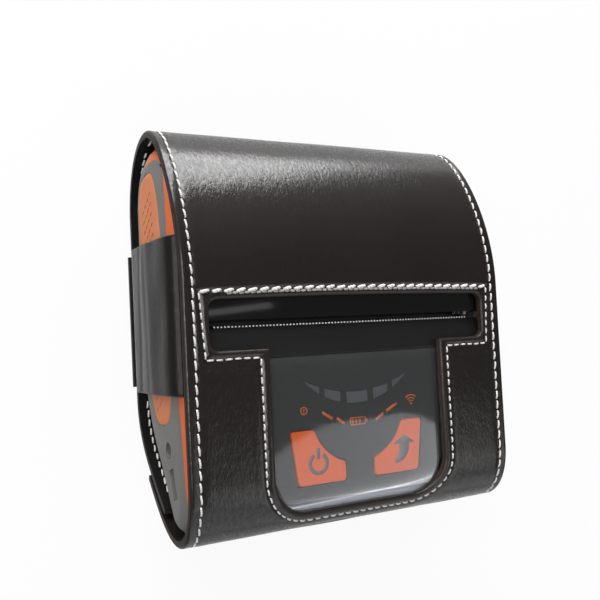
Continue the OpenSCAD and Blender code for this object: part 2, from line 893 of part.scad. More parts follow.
module paper_bay() {
    color(c_black)
        difference() {
            intersection() {
                bar(-arm_x - 0.9, arm_x + 0.9, roll_c[0], roll_c[1], bay_r + bay_t);
                block([-far, -far, base_z + back_wall + 0.1], [far, far, roll_c[1] + 3]);
            }
            bar(-paper_half - 0.45, paper_half + 0.45, roll_c[0], roll_c[1], bay_r);
            // Finger notch in each end wall
            bar(-far, far, roll_c[0], roll_c[1] + 3, 7);
        }
}

module paper_roll() {
    color("#f3f1ea")
        difference() {
            bar(-paper_half, paper_half, roll_c[0], roll_c[1], roll_d / 2);
            bar(-far, far, roll_c[0], roll_c[1], core_d / 2);
        }
}

module paper_core() {
    color("#b79a6a")
        difference() {
            bar(-paper_half, paper_half, roll_c[0], roll_c[1], core_d / 2);
            bar(-far, far, roll_c[0], roll_c[1], core_d / 2 - 1.2);
        }
}

module paper_sensor() {
    color("#2a1d3a")
        block([-3, head_y0 + 0.6, head_z0 - 3.4], [3, head_y0 + 4, head_z0 - 0.1]);
}

// Leather case

cover_outer = inset_path(i_apex, i_nose, -wrap_gap - leather_t);
cover_inner = inset_path(i_apex, i_nose, -wrap_gap);
nose_out = inset(i_nose, -wrap_gap - leather_t);
apex_out = inset(i_apex, -wrap_gap - leather_t);

// The flap runs from the button end to its free edge under the back
tail_len = 14;
tail_drop = 24;
tail_p = [nose_out, nose_out + [0, -9.5], nose_out + [tail_len - 4.6, -tail_drop + 5.2], nose_out + [tail_len, -tail_drop]];
tail_path = curve_closed(tail_p, 12);
tail_inner = concat([inset(i_nose, -wrap_gap)], [for (i = [1:12]) shifted(tail_path, leather_t)[i]]);
tail_to_back = leather_t + closure_t + 0.15;
back_under = shifted(tail_path, tail_to_back);
back_turn = back_under[12];
back_dir = unit(tail_p[3] - tail_p[2]);
flat_from = bot_y + 34;

// The back panel from inside the flap to the roll end
back_low = concat(
    [for (i = [5:11]) back_under[i]],
    curve([back_turn, back_turn + 6 * back_dir, [flat_from - 10, strap_t], [flat_from, strap_t]]),
    [[flat_from, strap_t]]
);
function back_gap(i) = mix(gap, wrap_gap, (i - 1) / (i_apex - 1));
back_outer = concat(back_low, [for (i = [1:i_apex]) inset(i, -leather_t - back_gap(i))]);
back_inner = concat(shifted(back_low, leather_t), [for (i = [1:i_apex]) inset(i, -back_gap(i))]);

module leather(outer, inner) {
    across(case_w)
        polygon(concat(outer, reversed(inner)));
}

// Window: a cross bar for the paper slot and a stem for the controls
module window_shape(more = 0) {
    bar_half = window_bar_w / 2 + more;
    bar_l = window_bar_l / 2 + more;
    stem_half = window_stem_w / 2 + more;
    r = 2.5;
    translate([-bar_half + r, mouth_y - bar_l + r])
        offset_round([2 * (bar_half - r), 2 * (bar_l - r)], r);
    stem_r = 11;
    translate([-stem_half + stem_r, mouth_y - window_stem_l - more + stem_r])
        offset_round([2 * (stem_half - stem_r), window_stem_l - stem_r - bar_l + more], stem_r);
    translate([-stem_half, mouth_y - bar_l - 12])
        square([2 * stem_half, 14]);
}

module case_cover() {
    color(c_leather)
        difference() {
            leather(cover_outer, cover_inner);
            translate([0, 0, nose_z])
                linear_extrude(far)
                    window_shape();
        }
}

module clear_window() {
    color("#aab4bc", 0.35)
        intersection() {
            across(window_stem_w + 8)
                polygon(concat(inset_path(i_apex, i_nose, -wrap_gap), reversed(inset_path(i_apex, i_nose, -gap))));
            block([-far, mouth_y - window_stem_l - 3, 0], [far, mouth_y - window_bar_l / 2 - 2, far]);
        }
}

module case_back() {
    color(c_lining)
        leather(back_outer, back_inner);
}

module case_tail() {
    color(c_leather)
        leather(tail_path, tail_inner);
}

module closure_pad() {
    pad = [for (i = [6:11]) shifted(tail_path, leather_t + 0.15)[i]];
    back = [for (i = [6:11]) back_under[i]];
    color("#101010")
        across(60)
            polygon(concat(pad, reversed(back)));
}

// Side straps: [x, z] outlines of the right one
strap_in = half_w + grip_proud + gap;
strap_out = strap_in + strap_t;
strap_y0 = strap_y - strap_w / 2;
strap_y1 = strap_y + strap_w / 2;
tuck_c = [half_w - front_r, face_z - front_r];
tuck_r = strap_in - tuck_c[0];
tuck_end = 48;
tuck_t = 0.9;

function arc(c, r0, r1, a0, a1, n) = [for (k = [0:n])
    let (a = mix(a0, a1, k / n), r = mix(r0, r1, k / n))
    c + r * [cos(a), sin(a)]];

// Rounding of the back edges, which the strap follows down to the back panel
low_c = [half_w - back_r, base_z + back_r];
low_r = strap_in - low_c[0];
low_out = low_r + strap_t;
root_end = 62;
root_t = 1.1;

// Outer layer under the back panel, and the pared root on its inner side
module strap_base(side) {
    color(c_leather)
        mirror([side < 0 ? 1 : 0, 0, 0]) {
            block([20, strap_y0, 0], [half_w + 0.3, strap_y1, strap_t]);
            along(strap_y0, strap_y1)
                polygon(concat(
                    arc(low_c, low_r + root_t, low_out, -root_end, -strap_hinge_a, 4),
                    arc(low_c, low_r, low_r, -strap_hinge_a, -root_end, 4)));
        }
}

module strap(side) {
    color(c_leather)
        mirror([side < 0 ? 1 : 0, 0, 0])
            difference() {
                along(strap_y0, strap_y1)
                    polygon(concat(
                        arc(low_c, low_out, low_out, -strap_hinge_a, 0, 8),
                        arc(tuck_c, tuck_r + strap_t, tuck_r + tuck_t, 0, tuck_end, 8),
                        arc(tuck_c, tuck_r, tuck_r, tuck_end, 0, 8),
                        arc(low_c, low_r, low_r, 0, -strap_hinge_a, 8)));
                // Pared back where the cover bends down over it
                across(2 * (case_w / 2 + gap))
                    polygon(concat(inset_path(i_apex, i_nose, -wrap_gap + gap), [[-far, far], [far, far]]));
            }
}

module left_strap_base() {
    strap_base(-1);
}

module right_strap_base() {
    strap_base(1);
}

module left_strap() {
    strap(-1);
}

module right_strap() {
    strap(1);
}

case_cover();
clear_window();
case_back();
case_tail();
closure_pad();
left_strap_base();
right_strap_base();
left_strap();
right_strap();
back_housing();
front_housing();
left_trim();
right_trim();
left_grip();
right_grip();
paper_cover();
cover_hinge_pin();
tear_bar();
head_cover();
control_panel();
light_windows();
power_button();
feed_button();
status_lights();
main_board();
button_switches();
usb_socket();
charge_socket();
battery_pack();
housing_screws();
mechanism_frame();
print_head();
head_springs();
platen_roller();
platen_shaft();
platen_gear();
platen_bushes();
idler_gear();
idler_axle();
drive_motor();
motor_pinion();
paper_bay();
paper_roll();
paper_core();
paper_sensor();
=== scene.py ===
"""Looks of a portable thermal printer in its leather case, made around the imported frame."""

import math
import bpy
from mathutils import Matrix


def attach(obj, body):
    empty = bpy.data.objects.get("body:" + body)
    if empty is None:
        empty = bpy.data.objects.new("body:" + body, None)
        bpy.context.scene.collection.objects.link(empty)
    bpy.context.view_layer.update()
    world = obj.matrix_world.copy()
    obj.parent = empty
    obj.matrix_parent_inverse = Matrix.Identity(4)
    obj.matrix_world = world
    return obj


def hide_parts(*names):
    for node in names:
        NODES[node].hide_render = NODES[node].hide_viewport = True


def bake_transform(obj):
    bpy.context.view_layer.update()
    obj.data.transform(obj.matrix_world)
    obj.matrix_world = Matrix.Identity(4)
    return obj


bl_info = {
    "name": "Thermal printer in a leather case",
    "version": (1, 0, 0),
    "blender": (4, 5, 0),
    "location": "View3D > Sidebar > Printer",
    "description": "Leather case, film, housings, buttons and inner parts of a portable thermal printer",
    "category": "Add Mesh",
}

import bmesh
import bpy
import numpy as np
from bpy.props import FloatProperty, FloatVectorProperty, PointerProperty
from mathutils import Matrix, Vector

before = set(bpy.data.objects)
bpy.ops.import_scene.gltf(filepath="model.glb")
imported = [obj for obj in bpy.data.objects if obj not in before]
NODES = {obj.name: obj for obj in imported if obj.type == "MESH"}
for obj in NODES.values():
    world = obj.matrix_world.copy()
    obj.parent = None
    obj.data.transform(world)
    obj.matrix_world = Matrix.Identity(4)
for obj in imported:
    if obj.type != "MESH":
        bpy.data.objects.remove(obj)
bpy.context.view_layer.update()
MM = 0.001
PI2 = 2 * math.pi
WORD = {-1: "left", 1: "right"}

# Lengths in millimetres, with X to the right, Y towards the roll end and Z up
CASE_HALF = 50.7
LEATHER = 2.0
WRAP = 0.8
STITCH_X = 48.0
HALF_LEN = 53.5
FLAT_Z = 4.1
APEX_Z = 20.8
NOSE_Z = 34.8
FACE_Z = 45.3
# The window: top edge, the stitch line over it, how far both bow up, and the stem's round end
EDGE_Y = 7.0
ROW_Y = 9.2
BOW = 0.55
BOW_HALF = 44.0
STEM = (16.5, -40.0)
STEM_R = 11.0
GRIP_ENDS = ((-25.2, 29.1), (43.7, 21.4))
GRIP_HALF = 9.8
GRIP_X = 51.2


# Curves


def bezier(points, n=48):
    """Bernstein curve through its first and last control point, n steps."""
    p = np.array(points, float)
    t = np.linspace(0, 1, n + 1)[:, None]
    k = len(p) - 1
    return sum(math.comb(k, i) * (1 - t) ** (k - i) * t**i * p[i] for i in range(k + 1))


def joined(*parts):
    """One polyline from several, without repeated points."""
    p = np.concatenate(parts)
    keep = np.r_[True, np.linalg.norm(np.diff(p, axis=0), axis=1) > 1e-6]
    return p[keep]


def left_of(p):
    """Unit normals to the left of a polyline, by central differences."""
    d = np.gradient(p, axis=0)
    d /= np.linalg.norm(d, axis=1, keepdims=True)
    return np.stack([-d[:, 1], d[:, 0]], 1)


class Curve:
    """A polyline in Y and Z by its length, with outward normals on its right."""

    def __init__(self, points):
        self.p = points
        self.n = -left_of(points)
        step = np.linalg.norm(np.diff(points, axis=0), axis=1)
        self.s = np.r_[0, np.cumsum(step)]

    def at(self, s, out=0.0):
        """Y and Z at length s, moved outwards by out."""
        s = np.asarray(s, float)
        y, z = (np.interp(s, self.s, self.p[:, i]) for i in (0, 1))
        ny, nz = (np.interp(s, self.s, self.n[:, i]) for i in (0, 1))
        size = np.hypot(ny, nz)
        return y + out * ny / size, z + out * nz / size

    def normal(self, s):
        """Outward normals at length s."""
        n = np.stack([np.interp(s, self.s, self.n[:, i]) for i in (0, 1)], -1)
        return n / np.linalg.norm(n, axis=-1, keepdims=True)

    def find(self, y=None, z=None, near=0.0):
        """Length at which the curve reaches y, or z, closest to length near."""
        v, w = (self.p[:, 0], y) if y is not None else (self.p[:, 1], z)
        f = v - w
        i = np.nonzero(f[:-1] * f[1:] <= 0)[0]
        s = self.s[i] + (self.s[i + 1] - self.s[i]) * f[i] / (f[i] - f[i + 1] + 1e-12)
        return float(s[np.argmin(abs(s - near))])


CROWN = bezier([(33, FLAT_Z), (44.07, FLAT_Z), (HALF_LEN, 10.78), (HALF_LEN, APEX_Z)])
SHOULDER = bezier([(HALF_LEN, APEX_Z), (HALF_LEN, 32.07), (29.42, FACE_Z), (10.5, FACE_Z)])
NOSE = bezier([(-39.5, FACE_Z), (-47.9, FACE_Z), (-HALF_LEN, 41.31), (-HALF_LEN, NOSE_Z)])
FACE_LINE = np.array([(10.5 - 2.0 * i, FACE_Z) for i in range(26)])
UPPER_LINE = joined(SHOULDER, FACE_LINE, NOSE)


def moved_out(points, out):
    """A polyline moved outwards (to its right) by out, a number or one per point."""
    return points - left_of(points) * np.reshape(out, (-1, 1))


def wrap_curve():
    """The leather's outer line all round: under the flap, back, roll end, face, button end, flap.

    Round the printer it is the printer's line moved out; flap and heel are Bezier curves."""
    tail = bezier([(-56.3, NOSE_Z), (-56.3, 25.3), (-46.9, 16.0), (-42.3, 10.8)])
    under = (tail + left_of(tail) * 3.15)[20:]
    step = tail[-1] - tail[-2]
    heel = bezier([under[-1], under[-1] + 6 * step / np.linalg.norm(step), (-29.5, 1.8), (-19.5, 1.8)])
    flat = np.array([(-19.5 + 2.5 * i, FLAT_Z - 2.3) for i in range(21)])
    crown = moved_out(CROWN, LEATHER + 0.3 + 0.5 * np.linspace(0, 1, len(CROWN)))
    rest = moved_out(UPPER_LINE, LEATHER + WRAP)
    return Curve(joined(under, heel, flat, crown, rest, tail))


WRAP_LINE = wrap_curve()
PRINTER_LINE = Curve(UPPER_LINE)
S_APEX = WRAP_LINE.find(z=APEX_Z, near=130)
S_CROWN = WRAP_LINE.find(z=13.5, near=S_APEX)
S_FACE_TOP = WRAP_LINE.find(y=12.0, near=S_APEX + 60)
S_NOSE = WRAP_LINE.find(z=NOSE_Z, near=WRAP_LINE.s[-1] - 28)
S_SEAM = WRAP_LINE.find(z=38.0, near=S_NOSE)
S_END = float(WRAP_LINE.s[-1])


def s_of_y(y):
    """Length along the wrap at a place of the face, given by its Y."""
    inside = (WRAP_LINE.s > S_FACE_TOP - 25) & (WRAP_LINE.s < S_NOSE)
    return np.interp(-np.asarray(y, float), -WRAP_LINE.p[inside, 0], WRAP_LINE.s[inside])


def placed(curve, x, s, height):
    """Vertices at x and length s of a curve, moved out along its normals by height."""
    y, z = curve.at(s)
    n = curve.normal(s)
    return np.stack([x, y + n[:, 0] * height, z + n[:, 1] * height], 1)


def on_wrap(x, s, out=0.0):
    """Points on the wrap at x and s, out above its outer line, with their normals."""
    x, s = np.broadcast_arrays(np.asarray(x, float), np.asarray(s, float))
    y, z = WRAP_LINE.at(s, out)
    n = WRAP_LINE.normal(s)
    return np.stack([x, y, z], -1), np.stack([np.zeros_like(x), n[..., 0], n[..., 1]], -1)


def line(a, b, n):
    """n even steps from a towards b, without b."""
    return np.linspace(a, b, n + 1)[:-1]


def arc_points(c, r, a0, a1, n=24, ry=None):
    """Arc about c from angle a0 to a1 in degrees; ry is the second radius of an ellipse."""
    a = np.radians(np.linspace(a0, a1, n + 1))
    return np.stack([c[0] + r * np.cos(a), c[1] + (ry or r) * np.sin(a)], 1)


def bell(d, width):
    """Bell curve of height 1 at d = 0."""
    return np.exp(-((d / width) ** 2))


def rounding(d, r):
    """Drop of an edge with radius r at distance d inside it."""
    q = np.clip(r - d, 0, r)
    return r - np.sqrt(np.maximum(r * r - q * q, 0))


def noise_wave(x, s, seed, scale, count=9):
    """Smooth uneven surface: a sum of sines with seeded directions, lengths and phases."""
    rng = np.random.default_rng(seed)
    total = np.zeros(np.broadcast(x, s).shape)
    for _ in range(count):
        a, length, phase = rng.uniform(0, PI2), scale * rng.uniform(0.6, 1.8), rng.uniform(0, PI2)
        total += np.sin((x * math.cos(a) + s * math.sin(a)) * PI2 / length + phase)
    return total / math.sqrt(count)


# Meshes


def new_object(name, verts, faces, smooth=True, sharp=None):
    """A mesh object from vertices in millimetres and faces as index rows."""
    mesh = bpy.data.meshes.new(name)
    verts = np.asarray(verts, float).reshape(-1, 3) * MM
    faces = [np.asarray(f, np.int32) for f in (faces if isinstance(faces, list) else [faces])]
    faces = [f for f in faces if len(f)]
    loops = np.concatenate([f.ravel() for f in faces])
    sizes = np.concatenate([np.full(len(f), f.shape[1], np.int32) for f in faces])
    mesh.vertices.add(len(verts))
    mesh.vertices.foreach_set("co", verts.astype(np.float32).ravel())
    mesh.loops.add(len(loops))
    mesh.loops.foreach_set("vertex_index", loops)
    mesh.polygons.add(len(sizes))
    mesh.polygons.foreach_set("loop_start", np.r_[0, np.cumsum(sizes)[:-1]].astype(np.int32))
    mesh.update(calc_edges=True)
    mesh.validate()
    if smooth:
        mesh.shade_smooth()
    if sharp:
        mesh.set_sharp_from_angle(angle=math.radians(sharp))
    obj = bpy.data.objects.new(name, mesh)
    bpy.context.scene.collection.objects.link(obj)
    return obj


def grid_faces(rows, cols, start=0, wrap=False, flip=False):
    """Quads of a grid of rows x cols vertices; wrap closes it along its columns."""
    i = np.arange(rows - 1)[:, None]
    j = np.arange(cols if wrap else cols - 1)[None, :]
    k = (j + 1) % cols
    f = np.stack([i * cols + j, i * cols + k, (i + 1) * cols + k, (i + 1) * cols + j], -1)
    f = f.reshape(-1, 4) + start
    return f[:, ::-1] if flip else f


def welded(verts, faces, step):
    """Joins vertices that lie at one place, and drops the faces that this flattens."""
    key = np.round(verts / step).astype(np.int64)
    _, first, index = np.unique(key, axis=0, return_index=True, return_inverse=True)
    faces = index.reshape(-1)[faces]
    return verts[first], faces[(faces != np.roll(faces, -1, axis=1)).all(1)]


def boundary_edges(faces):
    """Directed edges that only one face has."""
    e = np.concatenate([faces[:, [i, (i + 1) % 4]] for i in range(4)])
    big = int(e.max()) + 1
    key = e.min(1) * big + e.max(1)
    _, first, count = np.unique(key, return_index=True, return_counts=True)
    return e[first[count == 1]]


def sheet_faces(faces, n):
    """Faces of two layers n vertices apart, and the walls that close their rims."""
    a, b = boundary_edges(faces).T
    return [faces, faces[:, ::-1] + n, np.stack([b, a, a + n, b + n], 1)]


def sheet(name, outer, inner, faces, wear=None, sharp=38):
    """A closed sheet between two layers of vertices. Its wear lies on the outer layer, and its attribute
    called layer is 1 on the outer side and 0 on the inner one."""
    n = len(outer)
    obj = new_object(name, np.concatenate([outer, inner]), sheet_faces(faces, n), sharp=sharp)
    if wear is not None:
        for key, values in (("wear", np.r_[wear, np.zeros(n)]), ("layer", np.r_[np.ones(n), np.zeros(n)])):
            data = obj.data.attributes.new(key, "FLOAT", "POINT").data
            data.foreach_set("value", np.asarray(values, np.float32))
    return obj


def dome_faces(rows, n, flip=False):
    """Faces of rings that close in on a tip: quads, the fan at the tip and the floor."""
    last = (rows - 1) * n + np.arange(n)
    fan = np.stack([last, np.roll(last, -1), np.full(n, rows * n)], 1)
    faces = [grid_faces(rows, n, wrap=True), fan, np.arange(n)[::-1][None]]
    return [f[:, ::-1] for f in faces] if flip else faces


def domes(name, p, flip=False):
    """Small domes in one mesh; each row of p holds three rings of vertices and a tip."""
    shift = (np.arange(len(p)) * p.shape[1])[:, None, None]
    parts = dome_faces(3, p.shape[1] // 3, flip)
    return new_object(name, p.reshape(-1, 3), [(f + shift).reshape(-1, f.shape[1]) for f in parts])


def set_uv(obj, uv):
    """UV per vertex, handed to each face corner."""
    layer = obj.data.uv_layers.new(name="UVMap")
    index = np.empty(len(obj.data.loops), np.int32)
    obj.data.loops.foreach_get("vertex_index", index)
    layer.data.foreach_set("uv", np.asarray(uv, np.float32)[index].ravel())


# Materials


def linear(code):
    """Linear colour of a hex code; a colour setting is linear already."""
    if not isinstance(code, str):
        return (*code, 1.0)
    c = np.array([int(code[i : i + 2], 16) / 255 for i in (1, 3, 5)])
    c = np.where(c <= 0.04045, c / 12.92, ((c + 0.055) / 1.055) ** 2.4)
    return (*(float(v) for v in c), 1.0)


def shaded(colour, factor):
    """A colour made darker by a factor."""
    return (*(c * factor for c in colour[:3]), 1)


class Graph:
    """Nodes of one material or world, added with their values and links in one call."""

    def __init__(self, name, world=False):
        self.owner = (bpy.data.worlds if world else bpy.data.materials).new(name)
        self.owner.use_nodes = True
        self.tree = self.owner.node_tree
        self.tree.nodes.clear()
        self.out = self.add("ShaderNodeOutputWorld" if world else "ShaderNodeOutputMaterial")
        self.coords = self.add("ShaderNodeTexCoord")
        self.place = self.coords.outputs["Object"]

    def add(self, kind, values=None, **props):
        """A node with its properties, and its inputs set or linked by name or number."""
        node = self.tree.nodes.new(kind)
        for key, value in props.items():
            setattr(node, key, value)
        for key, value in (values or {}).items():
            socket = node.inputs[key]
            if isinstance(value, bpy.types.NodeSocket):
                self.tree.links.new(value, socket)
            else:
                socket.default_value = value
        return node

    def scaled(self, x, y, z, turn=(0, 0, 0)):
        """Object coordinates stretched by a Mapping node."""
        node = self.add("ShaderNodeMapping", {"Vector": self.place, "Scale": (x, y, z), "Rotation": turn})
        return node.outputs[0]

    def noise(self, scale, detail=3.0, rough=0.55, vector=None, distortion=0.0):
        values = {"Vector": vector or self.place, "Scale": scale, "Detail": detail}
        values.update({"Roughness": rough, "Distortion": distortion})
        return self.add("ShaderNodeTexNoise", values).outputs["Fac"]

    def cells(self, scale, rand):
        """Distance to the middle of the nearest cell."""
        values = {"Vector": self.place, "Scale": scale, "Randomness": rand}
        return self.add("ShaderNodeTexVoronoi", values).outputs["Distance"]

    def ramp(self, value, low, high, to_low=0.0, to_high=1.0):
        """The value's range low..high stretched to to_low..to_high, and clamped there."""
        values = {"Value": value, "From Min": low, "From Max": high, "To Min": to_low, "To Max": to_high}
        return self.add("ShaderNodeMapRange", values, clamp=True).outputs[0]

    def math(self, kind, a, b=0.0, c=0.0):
        return self.add("ShaderNodeMath", {0: a, 1: b, 2: c}, operation=kind).outputs[0]

    def mix(self, fac, a, b):
        """Colour a where fac is 0, b where it is 1."""
        return self.add("ShaderNodeMix", {0: fac, 6: a, 7: b}, data_type="RGBA").outputs[2]

    def attribute(self, name):
        return self.add("ShaderNodeAttribute", attribute_name=name).outputs["Fac"]

    def bump(self, height, depth_mm, before=None):
        """Bump of the given depth in millimetres; before is an earlier bump."""
        values = {"Height": height, "Strength": 1.0, "Distance": depth_mm * MM}
        if before is not None:
            values["Normal"] = before
        return self.add("ShaderNodeBump", values).outputs[0]

    def shader(self, **values):
        """The Principled shader; its keywords are socket names with _ for a space."""
        values = {key.replace("_", " "): value for key, value in values.items()}
        return self.add("ShaderNodeBsdfPrincipled", values)

    def paint(self, tint, rough, bump, **more):
        """Ends the material in a Principled shader; more holds further sockets."""
        return self.finish(self.shader(Base_Color=tint, Roughness=rough, Normal=bump, **more))

    def finish(self, surface):
        """Links the last shader to the output and hands back the material or world."""
        self.tree.links.new(surface.outputs[0], self.out.inputs["Surface"])
        return self.owner


def leather_material(name, tone, light, rough=0.55, shine=0.9, grain=1.0):
    """Polished case leather: soft under a thin gloss, fine slanted crackle, pores and a few longer wrinkles.

    The layer attribute runs 0..1 through the sheet, so the cut edges show two thin glue lines; wear lightens
    the rims."""
    g = Graph(name)
    patch = g.noise(38, 4, 0.6)
    fine = g.noise(1500, 3, 0.6)
    crackle = g.noise(1.0, 3, 0.65, vector=g.scaled(1500, 620, 900, (0.2, 0.3, 0.65)), distortion=0.5)
    wrinkle = g.noise(1.0, 3, 0.55, vector=g.scaled(420, 170, 300, (0.0, 0.2, -0.5)), distortion=0.8)
    crease = g.noise(60, 3, 0.5)
    worn, layer = g.attribute("wear"), g.attribute("layer")
    base, light = linear(tone), linear(light)
    tint = g.mix(g.ramp(patch, 0.35, 0.7), base, shaded(base, 0.7))
    tint = g.mix(g.ramp(crackle, 0.55, 0.8, 0, 0.2), tint, light)
    tint = g.mix(g.math("MULTIPLY", worn, g.ramp(fine, 0.2, 0.7, 0.7, 1.0)), tint, light)
    saw = g.math("ABSOLUTE", g.math("SUBTRACT", g.math("FRACT", g.math("MULTIPLY", layer, 2.98)), 0.5))
    cut = g.math("MULTIPLY", g.ramp(layer, 0.04, 0.1), g.ramp(layer, 0.9, 0.98, 1, 0))
    tint = g.mix(g.math("MULTIPLY", cut, g.ramp(saw, 0.38, 0.5)), tint, linear("#6a625b"))
    bump = None
    folds = g.ramp(wrinkle, 0.45, 0.75)
    for height, depth in ((crease, 0.06), (folds, 0.016), (crackle, 0.065), (fine, 0.006)):
        bump = g.bump(height, depth * grain, bump)
    gloss = g.math("MULTIPLY", g.ramp(crackle, 0.35, 0.6, shine, shine * 0.6), g.ramp(cut, 0.0, 0.5, 1, 0))
    gloss = g.math("MULTIPLY", gloss, g.ramp(worn, 0.0, 0.5, 1, 0.4))
    soft = g.ramp(patch, 0.3, 0.75, 0.10, 0.17)
    coat = {"Coat_IOR": 1.6, "Coat_Weight": gloss, "Coat_Roughness": soft, "Coat_Normal": bump}
    return g.paint(tint, rough, bump, Specular_IOR_Level=0.15, **coat)


def plastic_material(name, tone, rough=0.45, texture=0.012, scale=2600, coat=0.0, spread=0.1, specular=0.5):
    """Moulded plastic: fine spark texture, slight unevenness of colour and gloss."""
    g = Graph(name)
    broad = g.noise(60, 3)
    base = linear(tone)
    tint = g.mix(g.ramp(broad, 0.3, 0.7), base, shaded(base, 1 - spread))
    uneven = g.ramp(broad, 0.25, 0.75, rough - 0.04, rough + 0.05)
    bump = g.bump(g.noise(scale, 2, 0.5), texture)
    return g.paint(tint, uneven, bump, Coat_Weight=coat, Coat_Roughness=0.08, Specular_IOR_Level=specular)


def metal_material(name, tone, rough=0.3, stretch=(400, 6000, 6000), depth=0.006, anisotropic=0.3):
    """Brushed or drawn metal: noise drawn out along one axis."""
    g = Graph(name)
    lines = g.noise(1.0, 2, 0.6, vector=g.scaled(*stretch))
    base = linear(tone)
    tint = g.mix(g.ramp(lines, 0.3, 0.7), base, shaded(base, 0.78))
    uneven = g.ramp(g.noise(180, 3), 0.3, 0.7, rough - 0.05, rough + 0.08)
    return g.paint(tint, uneven, g.bump(lines, depth), Metallic=1.0, Anisotropic=anisotropic)


def thread_material(name, tone):
    """Twisted thread: slanted ridges from the piece's own UV, with painted shade darkening the hollows
    between them.
    """
    g = Graph(name)
    uv = g.add("ShaderNodeSeparateXYZ", {0: g.coords.outputs["UV"]})
    turn = g.math("MULTIPLY_ADD", uv.outputs[0], 3.0, uv.outputs[1])
    ridge = g.ramp(g.math("SINE", g.math("MULTIPLY", turn, PI2)), -1, 1)
    base = linear(tone)
    fuzz = g.ramp(g.noise(3000, 3), 0.2, 0.8, 0.8, 1.0)
    # Painted shade: the colour drops to 0.7 of the base in the low parts of the ridges
    tint = g.mix(g.math("MULTIPLY", ridge, fuzz), shaded(base, 0.7), base)
    return g.paint(tint, 0.75, g.bump(ridge, 0.08), Sheen_Weight=0.3, Sheen_Roughness=0.5)


def film_material():
    """Clear flexible sheet: see-through, with gloss that grows towards grazing angles."""
    g = Graph("clear film")
    bump = g.bump(g.noise(25, 2, 0.4), 0.12)
    clear = g.add("ShaderNodeBsdfTransparent", {"Color": (0.99, 0.99, 0.99, 1)})
    gloss = g.shader(Base_Color=(0.95, 0.96, 1, 1), Metallic=1.0, Roughness=0.05, Normal=bump)
    fresnel = g.add("ShaderNodeFresnel", {"IOR": 1.5})
    share = g.math("MULTIPLY_ADD", fresnel.outputs[0], 0.75, 0.003)
    return g.finish(g.add("ShaderNodeMixShader", {0: share, 1: clear.outputs[0], 2: gloss.outputs[0]}))


def board_material():
    """Circuit board: green resist with paler tracks under it and small solder pads."""
    g = Graph("circuit board")
    black, white = (0, 0, 0, 1), (1, 1, 1, 1)
    values = {"Vector": g.scaled(1, 1, 1, (0, 0, 0.785)), "Scale": 260.0, "Mortar Size": 0.035}
    values.update({"Color1": black, "Color2": black, "Mortar": white})
    tracks = g.add("ShaderNodeTexBrick", values).outputs["Color"]
    pads = g.ramp(g.cells(420, 0.35), 0.16, 0.19, 1, 0)
    tint = g.mix(tracks, linear("#123f26"), linear("#1f6a3d"))
    tint = g.mix(g.math("MULTIPLY", pads, g.ramp(g.noise(90), 0.5, 0.55)), tint, linear("#c8c4b4"))
    return g.paint(tint, 0.3, g.bump(tracks, 0.02), Coat_Weight=0.3)


def diode_material():
    """Small light: pale resin over a white package, faintly cloudy."""
    g = Graph("status light")
    cloud = g.noise(900, 3)
    tint = g.mix(cloud, linear("#e9e4cf"), linear("#d2cdb4"))
    return g.paint(tint, 0.25, g.bump(cloud, 0.01), Subsurface_Weight=0.2, Subsurface_Scale=0.001)


def wrap_material():
    """Battery in its blue shrink sleeve: tight creases across it, soft gloss."""
    g = Graph("battery sleeve")
    creases = g.noise(1.0, 3, 0.6, vector=g.scaled(60, 700, 700))
    tint = g.mix(g.ramp(creases, 0.4, 0.7), linear("#24476e"), linear("#2e5a89"))
    return g.paint(tint, 0.28, g.bump(creases, 0.04), Coat_Weight=0.3)


def paper_material():
    """Thermal paper roll: fine layers on its ends, smooth coated side."""
    g = Graph("thermal paper")
    layers = g.noise(1.0, 1, 0.5, vector=g.scaled(2, 2600, 2600))
    tint = g.mix(g.ramp(layers, 0.35, 0.65), linear("#eceae4"), linear("#dcd9d0"))
    return g.paint(tint, 0.6, g.bump(g.math("ADD", layers, g.noise(1400, 4, 0.6)), 0.01))


def card_material():
    """Wound card core: spiral seams and fibres."""
    g = Graph("card core")
    wave = g.add("ShaderNodeTexWave", {"Vector": g.scaled(1, 0.6, 0.6), "Scale": 130.0, "Distortion": 0.4})
    fibre = g.noise(1200, 5, 0.7)
    tint = g.mix(fibre, linear("#b79a6a"), linear("#98794a"))
    seams = g.math("MULTIPLY_ADD", g.ramp(wave.outputs["Fac"], 0.0, 0.08), 3.0, fibre)
    return g.paint(tint, 0.85, g.bump(seams, 0.03))


def hook_material():
    """Hook-and-loop pad: a field of tiny hooks."""
    g = Graph("hook and loop")
    hooks = g.cells(1100, 0.6)
    tint = g.mix(g.ramp(hooks, 0.1, 0.5), linear("#2a2a2c"), linear("#08080a"))
    return g.paint(tint, 0.8, g.bump(hooks, 0.25), Sheen_Weight=0.3)


